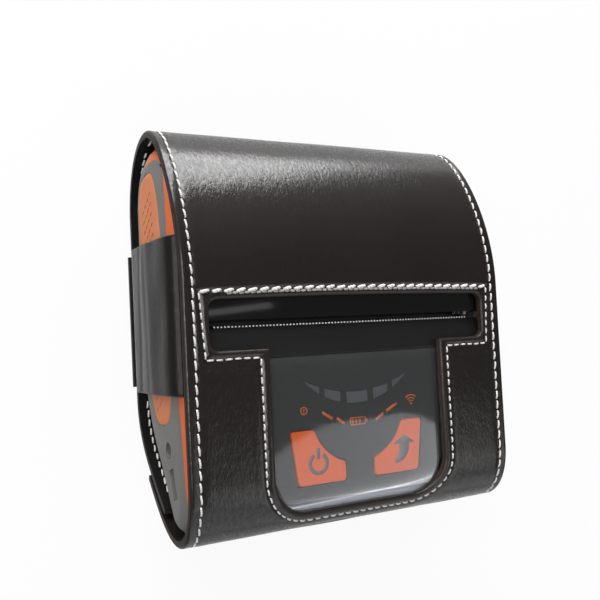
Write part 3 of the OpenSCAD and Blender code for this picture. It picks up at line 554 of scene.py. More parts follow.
def make_materials():
    """Every finish of the object, by name."""
    s = settings()
    grain, shine = s.leather_grain, s.leather_shine
    return {
        "leather": leather_material("case leather", s.leather_colour, "#332c27", 0.55, shine, grain),
        "strap": leather_material("strap leather", s.strap_colour, "#3f3932", 0.45, 0.62, 0.7 * grain),
        "lining": leather_material("case lining", s.lining_colour, "#1f1d1c", 0.5, 0.2, 0.4 * grain),
        "thread": thread_material("stitch thread", s.thread_colour),
        # Painted shade: a thin grey thread under the thick top stitches stands for the shade on their lower
        # half
        "cord": thread_material("shade grey thread", "#9d9996"),
        "film": film_material(),
        "grey": plastic_material("housing grey", s.housing_colour, 0.5, 0.02, 2200),
        "trim": plastic_material("trim orange", s.trim_colour, 0.42, 0.008, 2400, spread=0.05),
        "grip": plastic_material("grip orange", s.grip_colour, 0.55, 0.008, 1800, spread=0.05),
        "dash": plastic_material("dash orange", "#b05e2c", 0.55, 0.008, 1800, spread=0.05),
        "lid": plastic_material("lid black", s.lid_colour, 0.06, 0.001, 700, coat=0.4),
        "head": plastic_material("head cover black", "#1a1a1a", 0.33, 0.006, 2600),
        "panel": plastic_material("panel grey", s.panel_colour, 0.5, 0.015, 2600),
        "lens": plastic_material("light window", s.light_window_colour, 0.3, 0.004, 1500, coat=0.8),
        "button": plastic_material("button orange", s.button_colour, 0.48, 0.008, 2400, spread=0.05),
        "print": plastic_material("grey print", "#6b6e70", 0.5, 0.004, 3000),
        "legend": plastic_material("orange print", "#d8743c", 0.5, 0.004, 3000),
        "inner": plastic_material("inner black", "#1b1b1d", 0.55, 0.02, 1500),
        "nylon": plastic_material("gear nylon", "#d9d6c8", 0.5, 0.008, 900),
        "rubber": plastic_material("platen rubber", "#202022", 0.75, 0.03, 3200, specular=0.3),
        "ceramic": plastic_material("glazed head", "#1d1a18", 0.25, 0.004, 1500, coat=0.3),
        "sensor": plastic_material("sensor dark", "#1d1430", 0.15, 0.002, 900, coat=0.5),
        "steel": metal_material("steel", "#b9bcc0", 0.28),
        "bar": metal_material("dark steel", "#3b3c3f", 0.4),
        # Painted highlight: near-white domes on the tear bar's teeth stand for the glints of the steel
        "tip": plastic_material("ground steel", "#f3f4f4", 0.4, 0.004, 3000, spread=0.2),
        "motor": metal_material("motor steel", "#9fa2a6", 0.35, (900, 900, 900), 0.01, 0.0),
        "brass": metal_material("pinion brass", "#c9a24d", 0.28, (300, 4000, 4000)),
        "board": board_material(),
        "light": diode_material(),
        "wrap": wrap_material(),
        "paper": paper_material(),
        "card": card_material(),
        "hooks": hook_material(),
    }


MATERIALS = {}


def dress(obj, material, body=None, replaces=()):
    """Gives a piece its material and body, and hides the CAD nodes it stands for."""
    obj.data.materials.clear()
    obj.data.materials.append(MATERIALS[material])
    if body:
        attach(obj, body)
    if replaces:
        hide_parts(*replaces)
    return obj


# Leather case


EDGE_STEPS = np.array([0, 0.08, 0.22, 0.45, 0.75, 1.2, 1.7, 2.2, 2.7, 3.2, 3.8, 4.6])
TOP_LINES = np.r_[np.linspace(0, CASE_HALF - 5.4, 54), CASE_HALF - EDGE_STEPS[::-1]]
ALL_LINES = np.r_[-TOP_LINES[::-1], TOP_LINES[1:]]


def window_rings():
    """Matched right-half outlines, from the top middle clockwise: window edge, stitch line, outer limit.

    Each is an array of x and s, with s the length along the wrap. Straight runs are divided evenly,
    round corners are arcs, and the same fraction of each run belongs together."""
    bar_x, bar_r, bar_low, row_low, outer_y = 41.3, 2.5, -6.0, -8.2, 12.0
    upper, lower = (bar_x, EDGE_Y - bar_r), (bar_x, bar_low + bar_r)
    bar_end, stem_x, row_x = bar_x + bar_r, STEM[0] + STEM_R, 30.1

    def level(x, y):
        return np.stack([x, np.full(len(x), y)], 1)

    def corner(centre, a0, a1, n):
        return arc_points(centre, bar_r, a0, a1, n)[:-1]

    n_flat = int(np.sum(TOP_LINES <= bar_x))
    n_bend = len(TOP_LINES) - 1 - n_flat
    flat = TOP_LINES[:n_flat]
    row = np.r_[flat, np.linspace(flat[-1], 46.3, n_bend + 2)[1:-1]]
    runs = [
        # Top edge, and half the bar's upper corner
        (np.concatenate([level(flat, EDGE_Y), corner(upper, 90, 45, n_bend)]),
         level(row, ROW_Y), level(TOP_LINES[:-1], outer_y)),
        # The bar's end
        (np.concatenate([corner(upper, 45, 0, 6), line((bar_end, upper[1]), (bar_end, lower[1]), 14),
                         corner(lower, 0, -45, 6)]),
         line((46.3, ROW_Y), (45.2, row_low), 26), line((CASE_HALF, outer_y), (CASE_HALF, -9.0), 26)),
        # The bar's lower edge
        (np.concatenate([corner(lower, -45, -90, 5), line((bar_x, bar_low), (stem_x, bar_low), 15)]),
         line((45.2, row_low), (row_x, row_low), 20), line((CASE_HALF, -9.0), (CASE_HALF, -24.0), 20)),
        # The stem's side
        (line((stem_x, bar_low), (stem_x, STEM[1]), 40), line((row_x, row_low), (row_x, STEM[1]), 40),
         line((CASE_HALF, -24.0), (CASE_HALF, -47.0), 40)),
    ]
    win, sti, out = (np.concatenate(part) for part in zip(*runs))
    foot = (STEM[1] - STEM_R, STEM[1] - 13.0)
    ends = [np.linspace((STEM[0], y), (0, y), 21) for y in (*foot, S_SEAM)]
    win = np.concatenate([win, arc_points(STEM, STEM_R, 0, -90, 48)[:-1], ends[0]])
    sti = np.concatenate([sti, arc_points(STEM, 13.6, 0, -90, 48, 13.0)[:-1], ends[1]])
    # Soft leather: the top edge bows up in the middle
    for ring, edge_y in ((win, EDGE_Y), (sti, ROW_Y)):
        ring[:, 1] += BOW * bell(ring[:, 1] - edge_y, 1.5) * (1 - (ring[:, 0] / BOW_HALF) ** 2)
    for ring in (win, sti, out):
        ring[:, 1] = s_of_y(ring[:, 1])
    side = line((CASE_HALF, out[-1, 1] + 0.6), (CASE_HALF, S_SEAM), 22)
    bottom = line((CASE_HALF, S_SEAM), (17, S_SEAM), 26)
    return win, sti, np.concatenate([out, side, bottom, np.linspace((17, S_SEAM), (0, S_SEAM), 21)])


def side_relief(x, s):
    """Height changes along the side rows: a narrow groove under the thread with dimples at its holes."""
    pitch = settings().stitch_pitch / MM
    d = np.abs(np.abs(x) - STITCH_X)
    holes = 0.5 + 0.5 * np.cos(PI2 * (s / pitch + 0.5))
    groove = -0.14 * bell(d, 0.5) - 0.10 * bell(d, 0.4) * holes
    return groove - 0.05 * bell(d, 1.3) + 0.04 * np.exp(-((d - 2.4) ** 2) / 1.6)


def cover_leather(waves):
    """Cover leather with the window cut in it.

    Above the window the surface is a grid of x and length s. Round the window it is a ring grid between
    the matched outlines of window_rings. Height over the wrap line is the sum of edge rounding, the swell
    and groove along the stitch lines and a low wave. The inner side lies 2 mm under it, with closed rims."""
    win, sti, out = (np.concatenate([a, (a[::-1] * [-1, 1])[1:-1]]) for a in window_rings())
    span = np.linalg.norm(out - sti, axis=1)
    scale = np.minimum(1, span / 9.5)
    unit = (out - sti) / span[:, None]
    near = np.array([0, 0.25, 0.6, 1.1, 1.8])[:, None] * scale
    far = span - EDGE_STEPS[::-1][:, None] * scale
    middle = near[-1] + (far[0] - near[-1]) * np.linspace(0, 1, 16)[1:-1, None]
    rim = np.array([0, 0.03, 0.09, 0.19, 0.33, 0.5, 0.68, 0.84, 0.94])[:, None, None]
    steps = np.concatenate([near, middle, far])[..., None]
    ring = np.concatenate([win + (sti - win) * rim, sti + unit * steps])
    # Grid above the window, ending on the ring's outer line
    s_lines = np.linspace(S_CROWN, S_FACE_TOP, 96)
    top = np.stack(np.meshgrid(ALL_LINES, s_lines), -1)
    flat = np.concatenate([ring.reshape(-1, 2), top.reshape(-1, 2)])
    rows, around = ring.shape[:2]
    faces = np.concatenate([
        grid_faces(rows, around, wrap=True),
        grid_faces(len(s_lines), len(ALL_LINES), start=rows * around, flip=True)])
    flat, faces = welded(flat, faces, 1e-3)
    x, s = flat.T
    d_win, d_sti = nearest(flat, win), nearest(flat, sti)
    inside = points_inside(flat, sti)
    edge = CASE_HALF - np.abs(x)
    swell = 0.10 * bell(d_win - 1.25, 0.75) * inside
    groove = -0.24 * bell(d_sti, 0.42) - 0.12 * bell(d_sti, 1.0)
    rise = 0.06 * bell(d_sti - 1.7, 1.0) * ~inside
    height = -rounding(d_win, 0.7) * inside + swell + groove + rise
    height += side_relief(x, s) - rounding(edge, 0.7)
    calm = np.clip(d_win / 12, 0, 1) * np.clip(edge / 9, 0, 1)
    height += waves * calm * (0.07 * noise_wave(x, s, 3, 46) + 0.008 * noise_wave(x, s, 5, 12))
    wear = np.clip(0.35 * bell(edge, 0.4) + 0.7 * bell(d_win - 0.3, 0.45) * inside, 0, 1)
    outer, inner = placed(WRAP_LINE, x, s, height), placed(WRAP_LINE, x, s, -LEATHER)
    return sheet("cover_leather", outer, inner, faces, wear)


def nearest(points, loop):
    """Least distance from each point to a closed polyline."""
    a = loop
    d = np.roll(loop, -1, axis=0) - a
    size = np.maximum((d * d).sum(1), 1e-12)
    best = np.full(len(points), 1e9)
    for i in range(0, len(a), 8):
        v = points[:, None] - a[None, i : i + 8]
        t = np.clip((v * d[i : i + 8]).sum(-1) / size[i : i + 8], 0, 1)
        q = v - t[..., None] * d[i : i + 8]
        best = np.minimum(best, np.sqrt((q * q).sum(-1)).min(1))
    return best


def points_inside(points, loop):
    """True where a point is inside a closed polyline, by counting crossings."""
    a, b = loop, np.roll(loop, -1, axis=0)
    inside = np.zeros(len(points), bool)
    px, py = points.T
    for (ax, ay), (bx, by) in zip(a, b):
        if ay != by:
            cross = ((ay > py) != (by > py)) & (px < (bx - ax) * (py - ay) / (by - ay) + ax)
            inside ^= cross
    return inside


def leather_strip(name, s0, s1, waves, seed, end_round=False):
    """A stretch of the wrap from length s0 to s1, across the whole width, as a closed sheet 2 mm thick."""
    s_lines = np.linspace(s0, s1, int((s1 - s0) / 0.8) + 2)
    if end_round:
        s_lines = np.r_[s_lines[:-1], s1 - 0.4, s1 - 0.2, s1 - 0.06, s1]
    x, s = (v.ravel() for v in np.meshgrid(ALL_LINES, s_lines))
    edge = CASE_HALF - np.abs(x)
    height = side_relief(x, s) - rounding(edge, 0.7)
    if end_round:
        height -= rounding(s1 - s, 0.7)
    height += waves * np.clip(edge / 9, 0, 1) * 0.07 * noise_wave(x, s, seed, 40)
    faces = grid_faces(len(s_lines), len(ALL_LINES), flip=True)
    outer, inner = placed(WRAP_LINE, x, s, height), placed(WRAP_LINE, x, s, -LEATHER)
    return sheet(name, outer, inner, faces, 0.35 * bell(edge, 0.4))


def stitches(name, starts, ends, normals, radius, lift=0.22, sink=0.35):
    """Threads from starts to ends: each is a tube whose middle rises along the normal by a sine and
    whose ends dip into their holes; u runs along it and v round it."""
    sides, steps = 8, 7
    run = ends - starts
    length = np.linalg.norm(run, axis=1, keepdims=True)
    t = run / length
    side = np.cross(t, normals)
    side /= np.linalg.norm(side, axis=1, keepdims=True)
    up = np.cross(side, t)
    a = np.linspace(0, 1, steps)
    height = lift * np.sin(np.pi * a) ** 0.6 - sink * (1 - np.sin(np.pi * a)) ** 2.2
    size = radius * (0.62 + 0.38 * np.sin(np.pi * a) ** 0.5)
    phi = line(0, PI2, sides)
    centre = starts[:, None] + run[:, None] * a[None, :, None] + up[:, None] * height[None, :, None]
    across = side[:, None, None] * np.cos(phi)[None, None, :, None]
    ring = across + up[:, None, None] * np.sin(phi)[None, None, :, None]
    v = centre[:, :, None] + ring * size[None, :, None, None]
    count = np.arange(len(starts))[:, None, None]
    caps = [np.arange(sides)[::-1][None], (np.arange(sides) + (steps - 1) * sides)[None]]
    parts = [grid_faces(steps, sides, wrap=True), *caps]
    faces = [(f + count * steps * sides).reshape(-1, f.shape[1]) for f in parts]
    obj = new_object(name, v.reshape(-1, 3), faces)
    u = np.broadcast_to(a[None, :, None], v.shape[:3]) * (length[:, :, None] / radius / 6) + count * 0.37
    w = np.broadcast_to(phi / PI2, v.shape[:3])
    set_uv(obj, np.stack([u, w], -1).reshape(-1, 2))
    return obj


def side_row(name, s0, s1, radius, seed, skip=None, under=False):
    """Rows of stitches along both side edges between two lengths of the wrap, also on its inner side."""
    pitch = settings().stitch_pitch / MM
    rng = np.random.default_rng(seed)
    k = np.arange(math.ceil(s0 / pitch), math.floor(s1 / pitch))
    a, b = (k + 0.03) * pitch, (k + 0.97) * pitch
    if skip is not None:
        left = ~skip((a + b) / 2)
        a, b = a[left], b[left]
    rows = []
    level, way = (-LEATHER + 0.1, -1) if under else (-0.12, 1)
    for side in (-1, 1):
        shift = rng.normal(0, 0.05, (2, len(a)))
        p, n = on_wrap(side * (STITCH_X + 0.16 + shift[0]), a, level)
        q, _ = on_wrap(side * (STITCH_X - 0.16 + shift[1]), b, level)
        rows.append((p, q, way * n))
    return stitches(name, *(np.concatenate(part) for part in zip(*rows)), radius)


def along_line(points, pitch, fill=0.86, seed=1, jitter=0.05):
    """Even stitches along a polyline of x and s; returns their ends."""
    step = np.linalg.norm(np.diff(points, axis=0), axis=1)
    length = np.r_[0, np.cumsum(step)]
    n = max(1, round(length[-1] / pitch))
    at = np.linspace(0, length[-1], n + 1)
    rng = np.random.default_rng(seed)

    def pick(t):
        p = np.stack([np.interp(t, length, points[:, i]) for i in (0, 1)], 1)
        return p + rng.normal(0, jitter, p.shape)

    gap = (1 - fill) * (at[1] - at[0]) / 2
    return pick(at[:-1] + gap), pick(at[1:] - gap)


def top_line(x0, x1, y, n):
    """Places along the window's top edge, which bows up in the middle by a parabola."""
    x = np.linspace(x0, x1, n)
    return np.stack([x, s_of_y(y + BOW * np.maximum(0, 1 - (x / BOW_HALF) ** 2))], 1)


def on_cover(name, a, b, level, radius, finish="thread", **form):
    """Stitches from places a to places b of x and s, level above the cover's outer line."""
    (p, n), (q, _) = on_wrap(*a.T, level), on_wrap(*b.T, level)
    return dress(stitches(name, p, q, n, radius, **form), finish, "case_cover")


def strap_surface(side, waves):
    """One side strap in a single sheet: from its root on the back panel round the printer's low edge, up
    the side and over the printer's rim under the cover. Rows run up the strap, columns along Y; folds
    along Y press it in a little."""
    inner_x, thick, y0, y1 = 51.5, 1.8, -17, 24
    low, tuck = np.array([41.0, 14.1]), np.array([46.0, 40.3])
    up = np.stack([np.full(48, inner_x), np.linspace(low[1], tuck[1], 50)[1:-1]], 1)
    profile = joined(arc_points(low, 10.5, -61, 0, 39), up, arc_points(tuck, 5.5, 0, 46, 15))
    normal = -left_of(profile)
    s = np.r_[0, np.cumsum(np.linalg.norm(np.diff(profile, axis=0), axis=1))]
    taper = np.interp(s, [0, 4, s[-1] - 9, s[-1]], [1.0, thick - 0.2, thick - 0.6, 0.9])
    q = np.clip((profile[:, 1] - 8) / 33, 0, 1)
    taper += np.where(profile[:, 1] < 41, 3.6 * q * (1 - q), 0)
    ends = np.array([0, 0.1, 0.3, 0.6, 1.1])
    columns = np.r_[y0 + ends, np.linspace(-15.4, 22.4, 50), (y1 - ends)[::-1]]
    y, z = np.meshgrid(columns, profile[:, 1])
    edge = np.minimum(y - y0, y1 - y)
    open_part = np.clip((z - 7) / 8, 0, 1) * np.clip((41.5 - z) / 5, 0, 1)
    fold = 0.6 * np.sin(z * PI2 / 14 + 0.4 * np.sin(y / 14) + 2.2) + 0.4 * noise_wave(y, z, 21 + side, 19)
    crimp = bell(z - 19.5 - 0.05 * y, 1.3) + 0.6 * bell(z - 26 + 0.03 * y, 1.6)
    height = waves * open_part * (0.16 * (np.clip(fold, -1, 0.9) - 0.9) - 0.22 * crimp)
    out = taper[:, None] + height - rounding(edge, 0.5)
    # The root is a little narrower
    narrow = 0.9 * np.clip((11 - z) / 7, 0, 1)
    y = y + narrow * np.where(y > 3.5, -1, 1) * np.clip(1 - edge / 20.5, 0, 1)
    layers = []
    for level in (out, np.zeros_like(out)):
        x, z = (profile[:, i, None] + normal[:, i, None] * level for i in (0, 1))
        layers.append(np.stack([side * x, y, z], -1).reshape(-1, 3))
    faces = grid_faces(len(s), len(columns), flip=side > 0)
    return sheet(WORD[side] + "_strap_leather", *layers, faces, 0.8 * bell(edge, 0.4).ravel())


def strap_tab(side):
    """Outer layer of the strap under the back panel: a flat sheet with rounded rims, 1.8 mm thick."""
    x0, x1, y0, y1, thick = 20, 51.3, -16, 23, 1.8
    ends = np.array([0, 0.1, 0.3, 0.6, 1.0])
    xs = np.r_[x0 + ends, np.linspace(22, 49.3, 30), (x1 - ends)[::-1]]
    ys = np.r_[y0 + ends, np.linspace(-14, 21, 36), (y1 - ends)[::-1]]
    x, y = (v.ravel() for v in np.meshgrid(xs, ys))
    edge = np.minimum(np.minimum(x - x0, x1 - x), np.minimum(y - y0, y1 - y))
    drop = rounding(edge, 0.5) + 0.1 * bell(np.abs(edge - 2.5), 0.6)
    low, top = (np.stack([side * x, y, z], 1) for z in (drop, np.full_like(x, thick)))
    faces = grid_faces(len(ys), len(xs), flip=side > 0)
    return sheet(WORD[side] + "_strap_tab", low, top, faces, 0.6 * bell(edge, 0.4))


# Printer


def smoothed_copy(name, node, angle=26, bevel=0.0):
    """A copy of a CAD node with its doubles merged, smooth faces and sharp edges kept."""
    mesh = NODES[node].data.copy()
    mesh.name = name
    work = bmesh.new()
    work.from_mesh(mesh)
    bmesh.ops.remove_doubles(work, verts=work.verts, dist=2e-6)
    if bevel:
        bmesh.ops.dissolve_limit(work, angle_limit=math.radians(1.0), verts=work.verts, edges=work.edges)
    work.to_mesh(mesh)
    work.free()
    mesh.shade_smooth()
    if "custom_normal" in mesh.attributes:
        mesh.attributes.remove(mesh.attributes["custom_normal"])
    mesh.set_sharp_from_angle(angle=math.radians(angle))
    obj = bpy.data.objects.new(name, mesh)
    bpy.context.scene.collection.objects.link(obj)
    if bevel:
        cut = obj.modifiers.new("edges", "BEVEL")
        cut.width = bevel * MM
        cut.segments = 2
        cut.limit_method = "ANGLE"
        cut.angle_limit = math.radians(40)
    soft = obj.modifiers.new("shading", "WEIGHTED_NORMAL")
    soft.keep_sharp = True
    return obj


def rounded_loop(corners, radius, n=5):
    """A closed polygon whose corners are cut by short parabolas; radius per corner."""
    p = np.array(corners, float)
    r = np.broadcast_to(radius, len(p))
    a, b = np.roll(p, 1, axis=0), np.roll(p, -1, axis=0)
    out = []
    for i in range(len(p)):
        da, db = a[i] - p[i], b[i] - p[i]
        la, lb = np.linalg.norm(da), np.linalg.norm(db)
        ka, kb = min(r[i], la * 0.49), min(r[i], lb * 0.49)
        out.append(bezier([p[i] + da / la * ka, p[i], p[i] + db / lb * kb], n))
    return np.concatenate(out)


def resampled(loop, n):
    """n points at even spacing along a closed polyline."""
    p = np.concatenate([loop, loop[:1]])
    s = np.r_[0, np.cumsum(np.linalg.norm(np.diff(p, axis=0), axis=1))]
    t = np.linspace(0, s[-1], n + 1)[:-1]
    return np.stack([np.interp(t, s, p[:, i]) for i in (0, 1)], 1)


def turned_ccw(loop):
    """The loop with its inside on its left."""
    x, y = loop.T
    area = np.sum(x * np.roll(y, -1) - y * np.roll(x, -1))
    return loop if area > 0 else loop[::-1]


def pillow(name, loop, z_low, z_top, edge, crown=0.0, rings=4, inner=8):
    """A raised solid over a closed outline: straight wall, quarter-round edge, then rings that close in on
    the middle with a slight crown."""
    loop = turned_ccw(loop)
    d = np.roll(loop, -1, axis=0) - np.roll(loop, 1, axis=0)
    d /= np.linalg.norm(d, axis=1, keepdims=True)
    inward = np.stack([-d[:, 1], d[:, 0]], 1)
    levels = [(loop, z_low), (loop, z_top - edge)]
    for a in np.linspace(0, np.pi / 2, rings + 1)[1:]:
        levels.append((loop + inward * edge * (1 - np.cos(a)), z_top - edge + edge * np.sin(a)))
    last = levels[-1][0]
    middle = last.mean(0)
    for f in np.linspace(0, 1, inner + 1)[1:-1]:
        levels.append((last + (middle - last) * f, z_top + crown * (1 - (1 - f) ** 2)))
    verts = np.concatenate([np.c_[q, np.full(len(q), z)] for q, z in levels] + [[[*middle, z_top + crown]]])
    return new_object(name, verts, dome_faces(len(levels), len(loop)), sharp=50)


def flat_print(name, loops, z):
    """Thin raised marks: each loop is a strip of matched left and right points, closed all round."""
    thick = settings().print_height / MM
    verts, faces, start = [], [], 0
    for left, right in loops:
        n = len(left)
        top = np.c_[np.concatenate([left, right]), np.full(2 * n, z + thick)]
        verts += [top, top - [0, 0, thick * 2]]
        clockwise = np.cross(left[1] - left[0], right[0] - left[0]) < 0
        faces.append(np.concatenate(sheet_faces(grid_faces(2, n, flip=clockwise), 2 * n)) + start)
        start += 4 * n
    return new_object(name, np.concatenate(verts), np.concatenate(faces), smooth=False)


def stroke(points, width):
    """Left and right points of a line of the given width, a number or one per point."""
    p = np.array(points, float)
    n = left_of(p) * np.reshape(width, (-1, 1)) / 2
    return p + n, p - n


def button_loop(side):
    """Outline of a button: the CAD's corners, with the concave inner edge as an arc."""
    x0, x1, y0, y1, hollow_r = 4.6, 21.4, -43.5, -28.7, 14.0
    a = np.array([x0 + 0.1, y0 + 5.3])
    b = np.array([x1 - 7.3, y1 - 0.05])
    half = np.linalg.norm(b - a) / 2
    n = np.array([a[1] - b[1], b[0] - a[0]]) / (2 * half)
    c = (a + b) / 2 + math.sqrt(hollow_r**2 - half * half) * n
    t0, t1 = (math.degrees(math.atan2(*(p - c)[::-1])) for p in (b, a))
    t1 = t1 if abs(t1 - t0) < 180 else t1 - 360 * np.sign(t1 - t0)
    hollow = arc_points(c, hollow_r, t0, t1, 14)
    corners = np.concatenate([[(x0, y0), (x1 - 1.9, y0), (x1, y1)], hollow])
    radius = np.r_[1.3, 1.3, 1.1, 0.8, np.full(len(hollow) - 2, 0.2), 0.8]
    return turned_ccw(resampled(rounded_loop(corners, radius), 128) * [side, 1])


def grip_place(side, x, u, v):
    """Points on a grip: x out, u along the grip and v across it from its middle."""
    low, high = np.array(GRIP_ENDS)
    along = (high - low) / np.linalg.norm(high - low)
    y = (low + high)[0] / 2 + u * along[0] - v * along[1]
    z = (low + high)[1] / 2 + u * along[1] + v * along[0]
    return np.stack(np.broadcast_arrays(side * x, y, z), -1)


def grip_surface(side):
    """Leaf-shaped grip on one side: a superellipse in the side view, rounded over its pocket's rim."""
    half = np.linalg.norm(np.subtract(*GRIP_ENDS)) / 2
    n_around, n_rings, power = 200, 26, 3.4
    t = line(0, PI2, n_around)
    q = 2 * ((1 + np.cos(t)) / 2) - 1
    w = GRIP_HALF * np.maximum(0, 1 - np.abs(q) ** power) ** (1 / power) * np.sign(np.sin(t) + 1e-9)
    rim = np.stack([q * half, w]) * 0.995
    f = np.r_[1, 1, 0.985, 0.965, np.linspace(0.94, 0.0, n_rings)[:-1]][:, None]
    x = np.r_[50.0, 50.9, 51.1, 51.18, np.full(n_rings - 1, GRIP_X)][:, None]
    rings = grip_place(side, x, rim[0] * f, rim[1] * f).reshape(-1, 3)
    verts = np.concatenate([rings, [grip_place(side, GRIP_X, 0, 0)]])
    return new_object(WORD[side] + "_grip_leaf", verts, dome_faces(len(f), n_around, side < 0), sharp=50)


def grip_dashes(side):
    """Slanted lines of short raised dashes in the middle of the grip: each dash is an oval dome."""
    place, row = (v.ravel() for v in np.meshgrid(np.arange(-10, 10), np.arange(-1.5, 2)))
    v = (row * 2.3)[:, None]
    u = (0.6 + place * settings().dash_pitch / MM)[:, None] + v * 0.5
    turn = math.atan2(1.0, 0.5)
    phi = line(0, PI2, 10)
    rings = []
    for size, h in ((1.0, -0.03), (0.8, 0.07), (0.45, 0.12), (0, 0.13)):
        a, b = 1.15 * size * np.cos(phi), 0.42 * size * np.sin(phi)
        du, dv = a * math.cos(turn) - b * math.sin(turn), a * math.sin(turn) + b * math.cos(turn)
        rings.append(grip_place(side, GRIP_X + h, u + du, v + dv))
    rings[-1] = rings[-1][:, :1]
    return domes(WORD[side] + "_grip_dashes", np.concatenate(rings, 1), side < 0)


def tear_glint_points():
    """Tips of the tear bar: one small near-white dome per tooth along its edge, painted as the glints of the
    steel teeth.
    """
    x = np.arange(-41.0, 41.5, settings().tooth_pitch / MM)[:, None]
    y, z = 0.05, 43.68
    phi = line(0, PI2, 8)
    rings = []
    for size, h in ((1.0, -0.04), (0.75, 0.05), (0.4, 0.1), (0, 0.12)):
        ring = (x + 0.31 * size * np.cos(phi), y + 0.26 * size * np.sin(phi), z + h)
        rings.append(np.stack(np.broadcast_arrays(*ring), -1))
    rings[-1] = rings[-1][:, :1]
    return domes("tear_glint_points", np.concatenate(rings, 1))


# Settings


class PrinterCaseSettings(bpy.types.PropertyGroup):
    """Sizes and colours that a user may change"""

    waviness: FloatProperty(
        name="Leather waves", description="How uneven the leather lies, as a share of the real case",
        default=1.0, min=0, max=3)
    leather_grain: FloatProperty(
        name="Leather grain", description="Depth of crackle and wrinkles, as a share of the real case",
        default=1.0, min=0, max=3)
    leather_shine: FloatProperty(
        name="Leather shine", description="Strength of the leather's thin gloss",
        default=0.9, min=0, max=1, subtype="FACTOR")
    stitch_radius: FloatProperty(
        name="Stitch radius", description="Radius of the thread along the side edges",
        default=0.00028, unit="LENGTH")
    stitch_pitch: FloatProperty(
        name="Stitch pitch", description="Distance between the stitches of the side edges",
        default=0.003, min=0.0015, unit="LENGTH")
    window_stitch_radius: FloatProperty(
        name="Window stitch radius", description="Radius of the thread round the window",
        default=0.00025, unit="LENGTH")
    window_stitch_pitch: FloatProperty(
        name="Window stitch pitch", description="Distance between the stitches round the window",
        default=0.00245, min=0.001, unit="LENGTH")
    rope_radius: FloatProperty(
        name="Top stitch radius", description="Radius of the thick stitches over the window",
        default=0.00046, unit="LENGTH")
    rope_pitch: FloatProperty(
        name="Top stitch pitch", description="Distance between the thick stitches over the window",
        default=0.0033, min=0.001, unit="LENGTH")
    film_bulge: FloatProperty(
        name="Sheet bulge", description="How far the clear sheet stands off near its low end",
        default=0.0015, min=0.0001, max=0.0018, unit="LENGTH")
    button_edge: FloatProperty(
        name="Button edge", description="Radius of the edge round a button's top",
        default=0.00045, min=0.0001, max=0.001, unit="LENGTH")
    dash_pitch: FloatProperty(
        name="Grip dash pitch", description="Distance between the dashes along a grip",
        default=0.0029, min=0.002, unit="LENGTH")
    tooth_pitch: FloatProperty(
        name="Tooth pitch", description="Distance between the tips of the tear bar",
        default=0.001, min=0.0006, unit="LENGTH")
    print_height: FloatProperty(
        name="Print height", description="Thickness of the printed pictograms",
        default=0.00005, min=0.00001, max=0.0001, unit="LENGTH")
    leather_colour: FloatVectorProperty(
        name="Leather", description="Colour of the case leather",
        default=linear("#17120f")[:3], subtype="COLOR", min=0, max=1)
    strap_colour: FloatVectorProperty(
        name="Strap", description="Colour of the side straps",
        default=linear("#15120f")[:3], subtype="COLOR", min=0, max=1)
    lining_colour: FloatVectorProperty(
        name="Lining", description="Colour of the back panel's inner side",
        default=linear("#110f0f")[:3], subtype="COLOR", min=0, max=1)
    thread_colour: FloatVectorProperty(
        name="Thread", description="Colour of the stitches",
        default=linear("#e8e4df")[:3], subtype="COLOR", min=0, max=1)
    housing_colour: FloatVectorProperty(
        name="Housing", description="Colour of the printer's housings",
        default=linear("#62615f")[:3], subtype="COLOR", min=0, max=1)
    trim_colour: FloatVectorProperty(
        name="Trim", description="Colour of the side trims",
        default=linear("#b95627")[:3], subtype="COLOR", min=0, max=1)
    grip_colour: FloatVectorProperty(
        name="Grip", description="Colour of the side grips",
        default=linear("#bb6b3b")[:3], subtype="COLOR", min=0, max=1)
    button_colour: FloatVectorProperty(
        name="Button", description="Colour of the two buttons",
        default=linear("#ee6a26")[:3], subtype="COLOR", min=0, max=1)
    lid_colour: FloatVectorProperty(
        name="Lid", description="Colour of the paper lid",
        default=linear("#0f0f10")[:3], subtype="COLOR", min=0, max=1)
    panel_colour: FloatVectorProperty(
        name="Panel", description="Colour of the control panel",
        default=linear("#3a3b3a")[:3], subtype="COLOR", min=0, max=1)
    light_window_colour: FloatVectorProperty(
        name="Light windows", description="Colour of the five light windows",
        default=linear("#5d6063")[:3], subtype="COLOR", min=0, max=1)
    lamp_strength: FloatProperty(
        name="Lamp strength", description="Factor on every lamp of the scene",
        default=1.0, min=0)


def settings():
    """The settings of this scene."""
    return bpy.context.scene.printer_case


# Operators


class PRINTER_OT_materials(bpy.types.Operator):
    """Make every finish of the printer and its case"""

    bl_idname = "printer.materials"
    bl_label = "Materials"

    def execute(self, context):
        MATERIALS.update(make_materials())
        return {"FINISHED"}


def line_inner_side(obj):
    """Gives the faces on a sheet's inner layer the lining as their second material."""
    mesh = obj.data
    mesh.materials.append(MATERIALS["lining"])
    index = np.empty(len(mesh.loops), np.int32)
    mesh.loops.foreach_get("vertex_index", index)
    start = np.empty(len(mesh.polygons), np.int32)
    mesh.polygons.foreach_get("loop_start", start)
    inside = np.minimum.reduceat(index, start) >= len(mesh.vertices) // 2
    mesh.polygons.foreach_set("material_index", inside.astype(np.int32))


class PRINTER_OT_cover(bpy.types.Operator):
    """Cover leather, flap and back panel of the case"""

    bl_idname = "printer.cover"
    bl_label = "Case leather"

    def execute(self, context):
        waves = settings().waviness
        cover = dress(cover_leather(waves), "leather", replaces=["case_cover"])
        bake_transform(cover)
        tail = leather_strip("tail_leather", S_SEAM, S_END, waves, 31, end_round=True)
        dress(tail, "leather", replaces=["case_tail"])
        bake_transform(tail)
        back = leather_strip("back_leather", 0.0, S_CROWN, waves * 0.6, 37)
        dress(back, "leather", "printer_body", ["case_back"])
        line_inner_side(back)
        return {"FINISHED"}


def under_strap(s):
    """True at the lengths of the wrap that a strap's tab covers."""
    y, z = WRAP_LINE.at(s)
    return (z < 4) & (y > -19) & (y < 26)


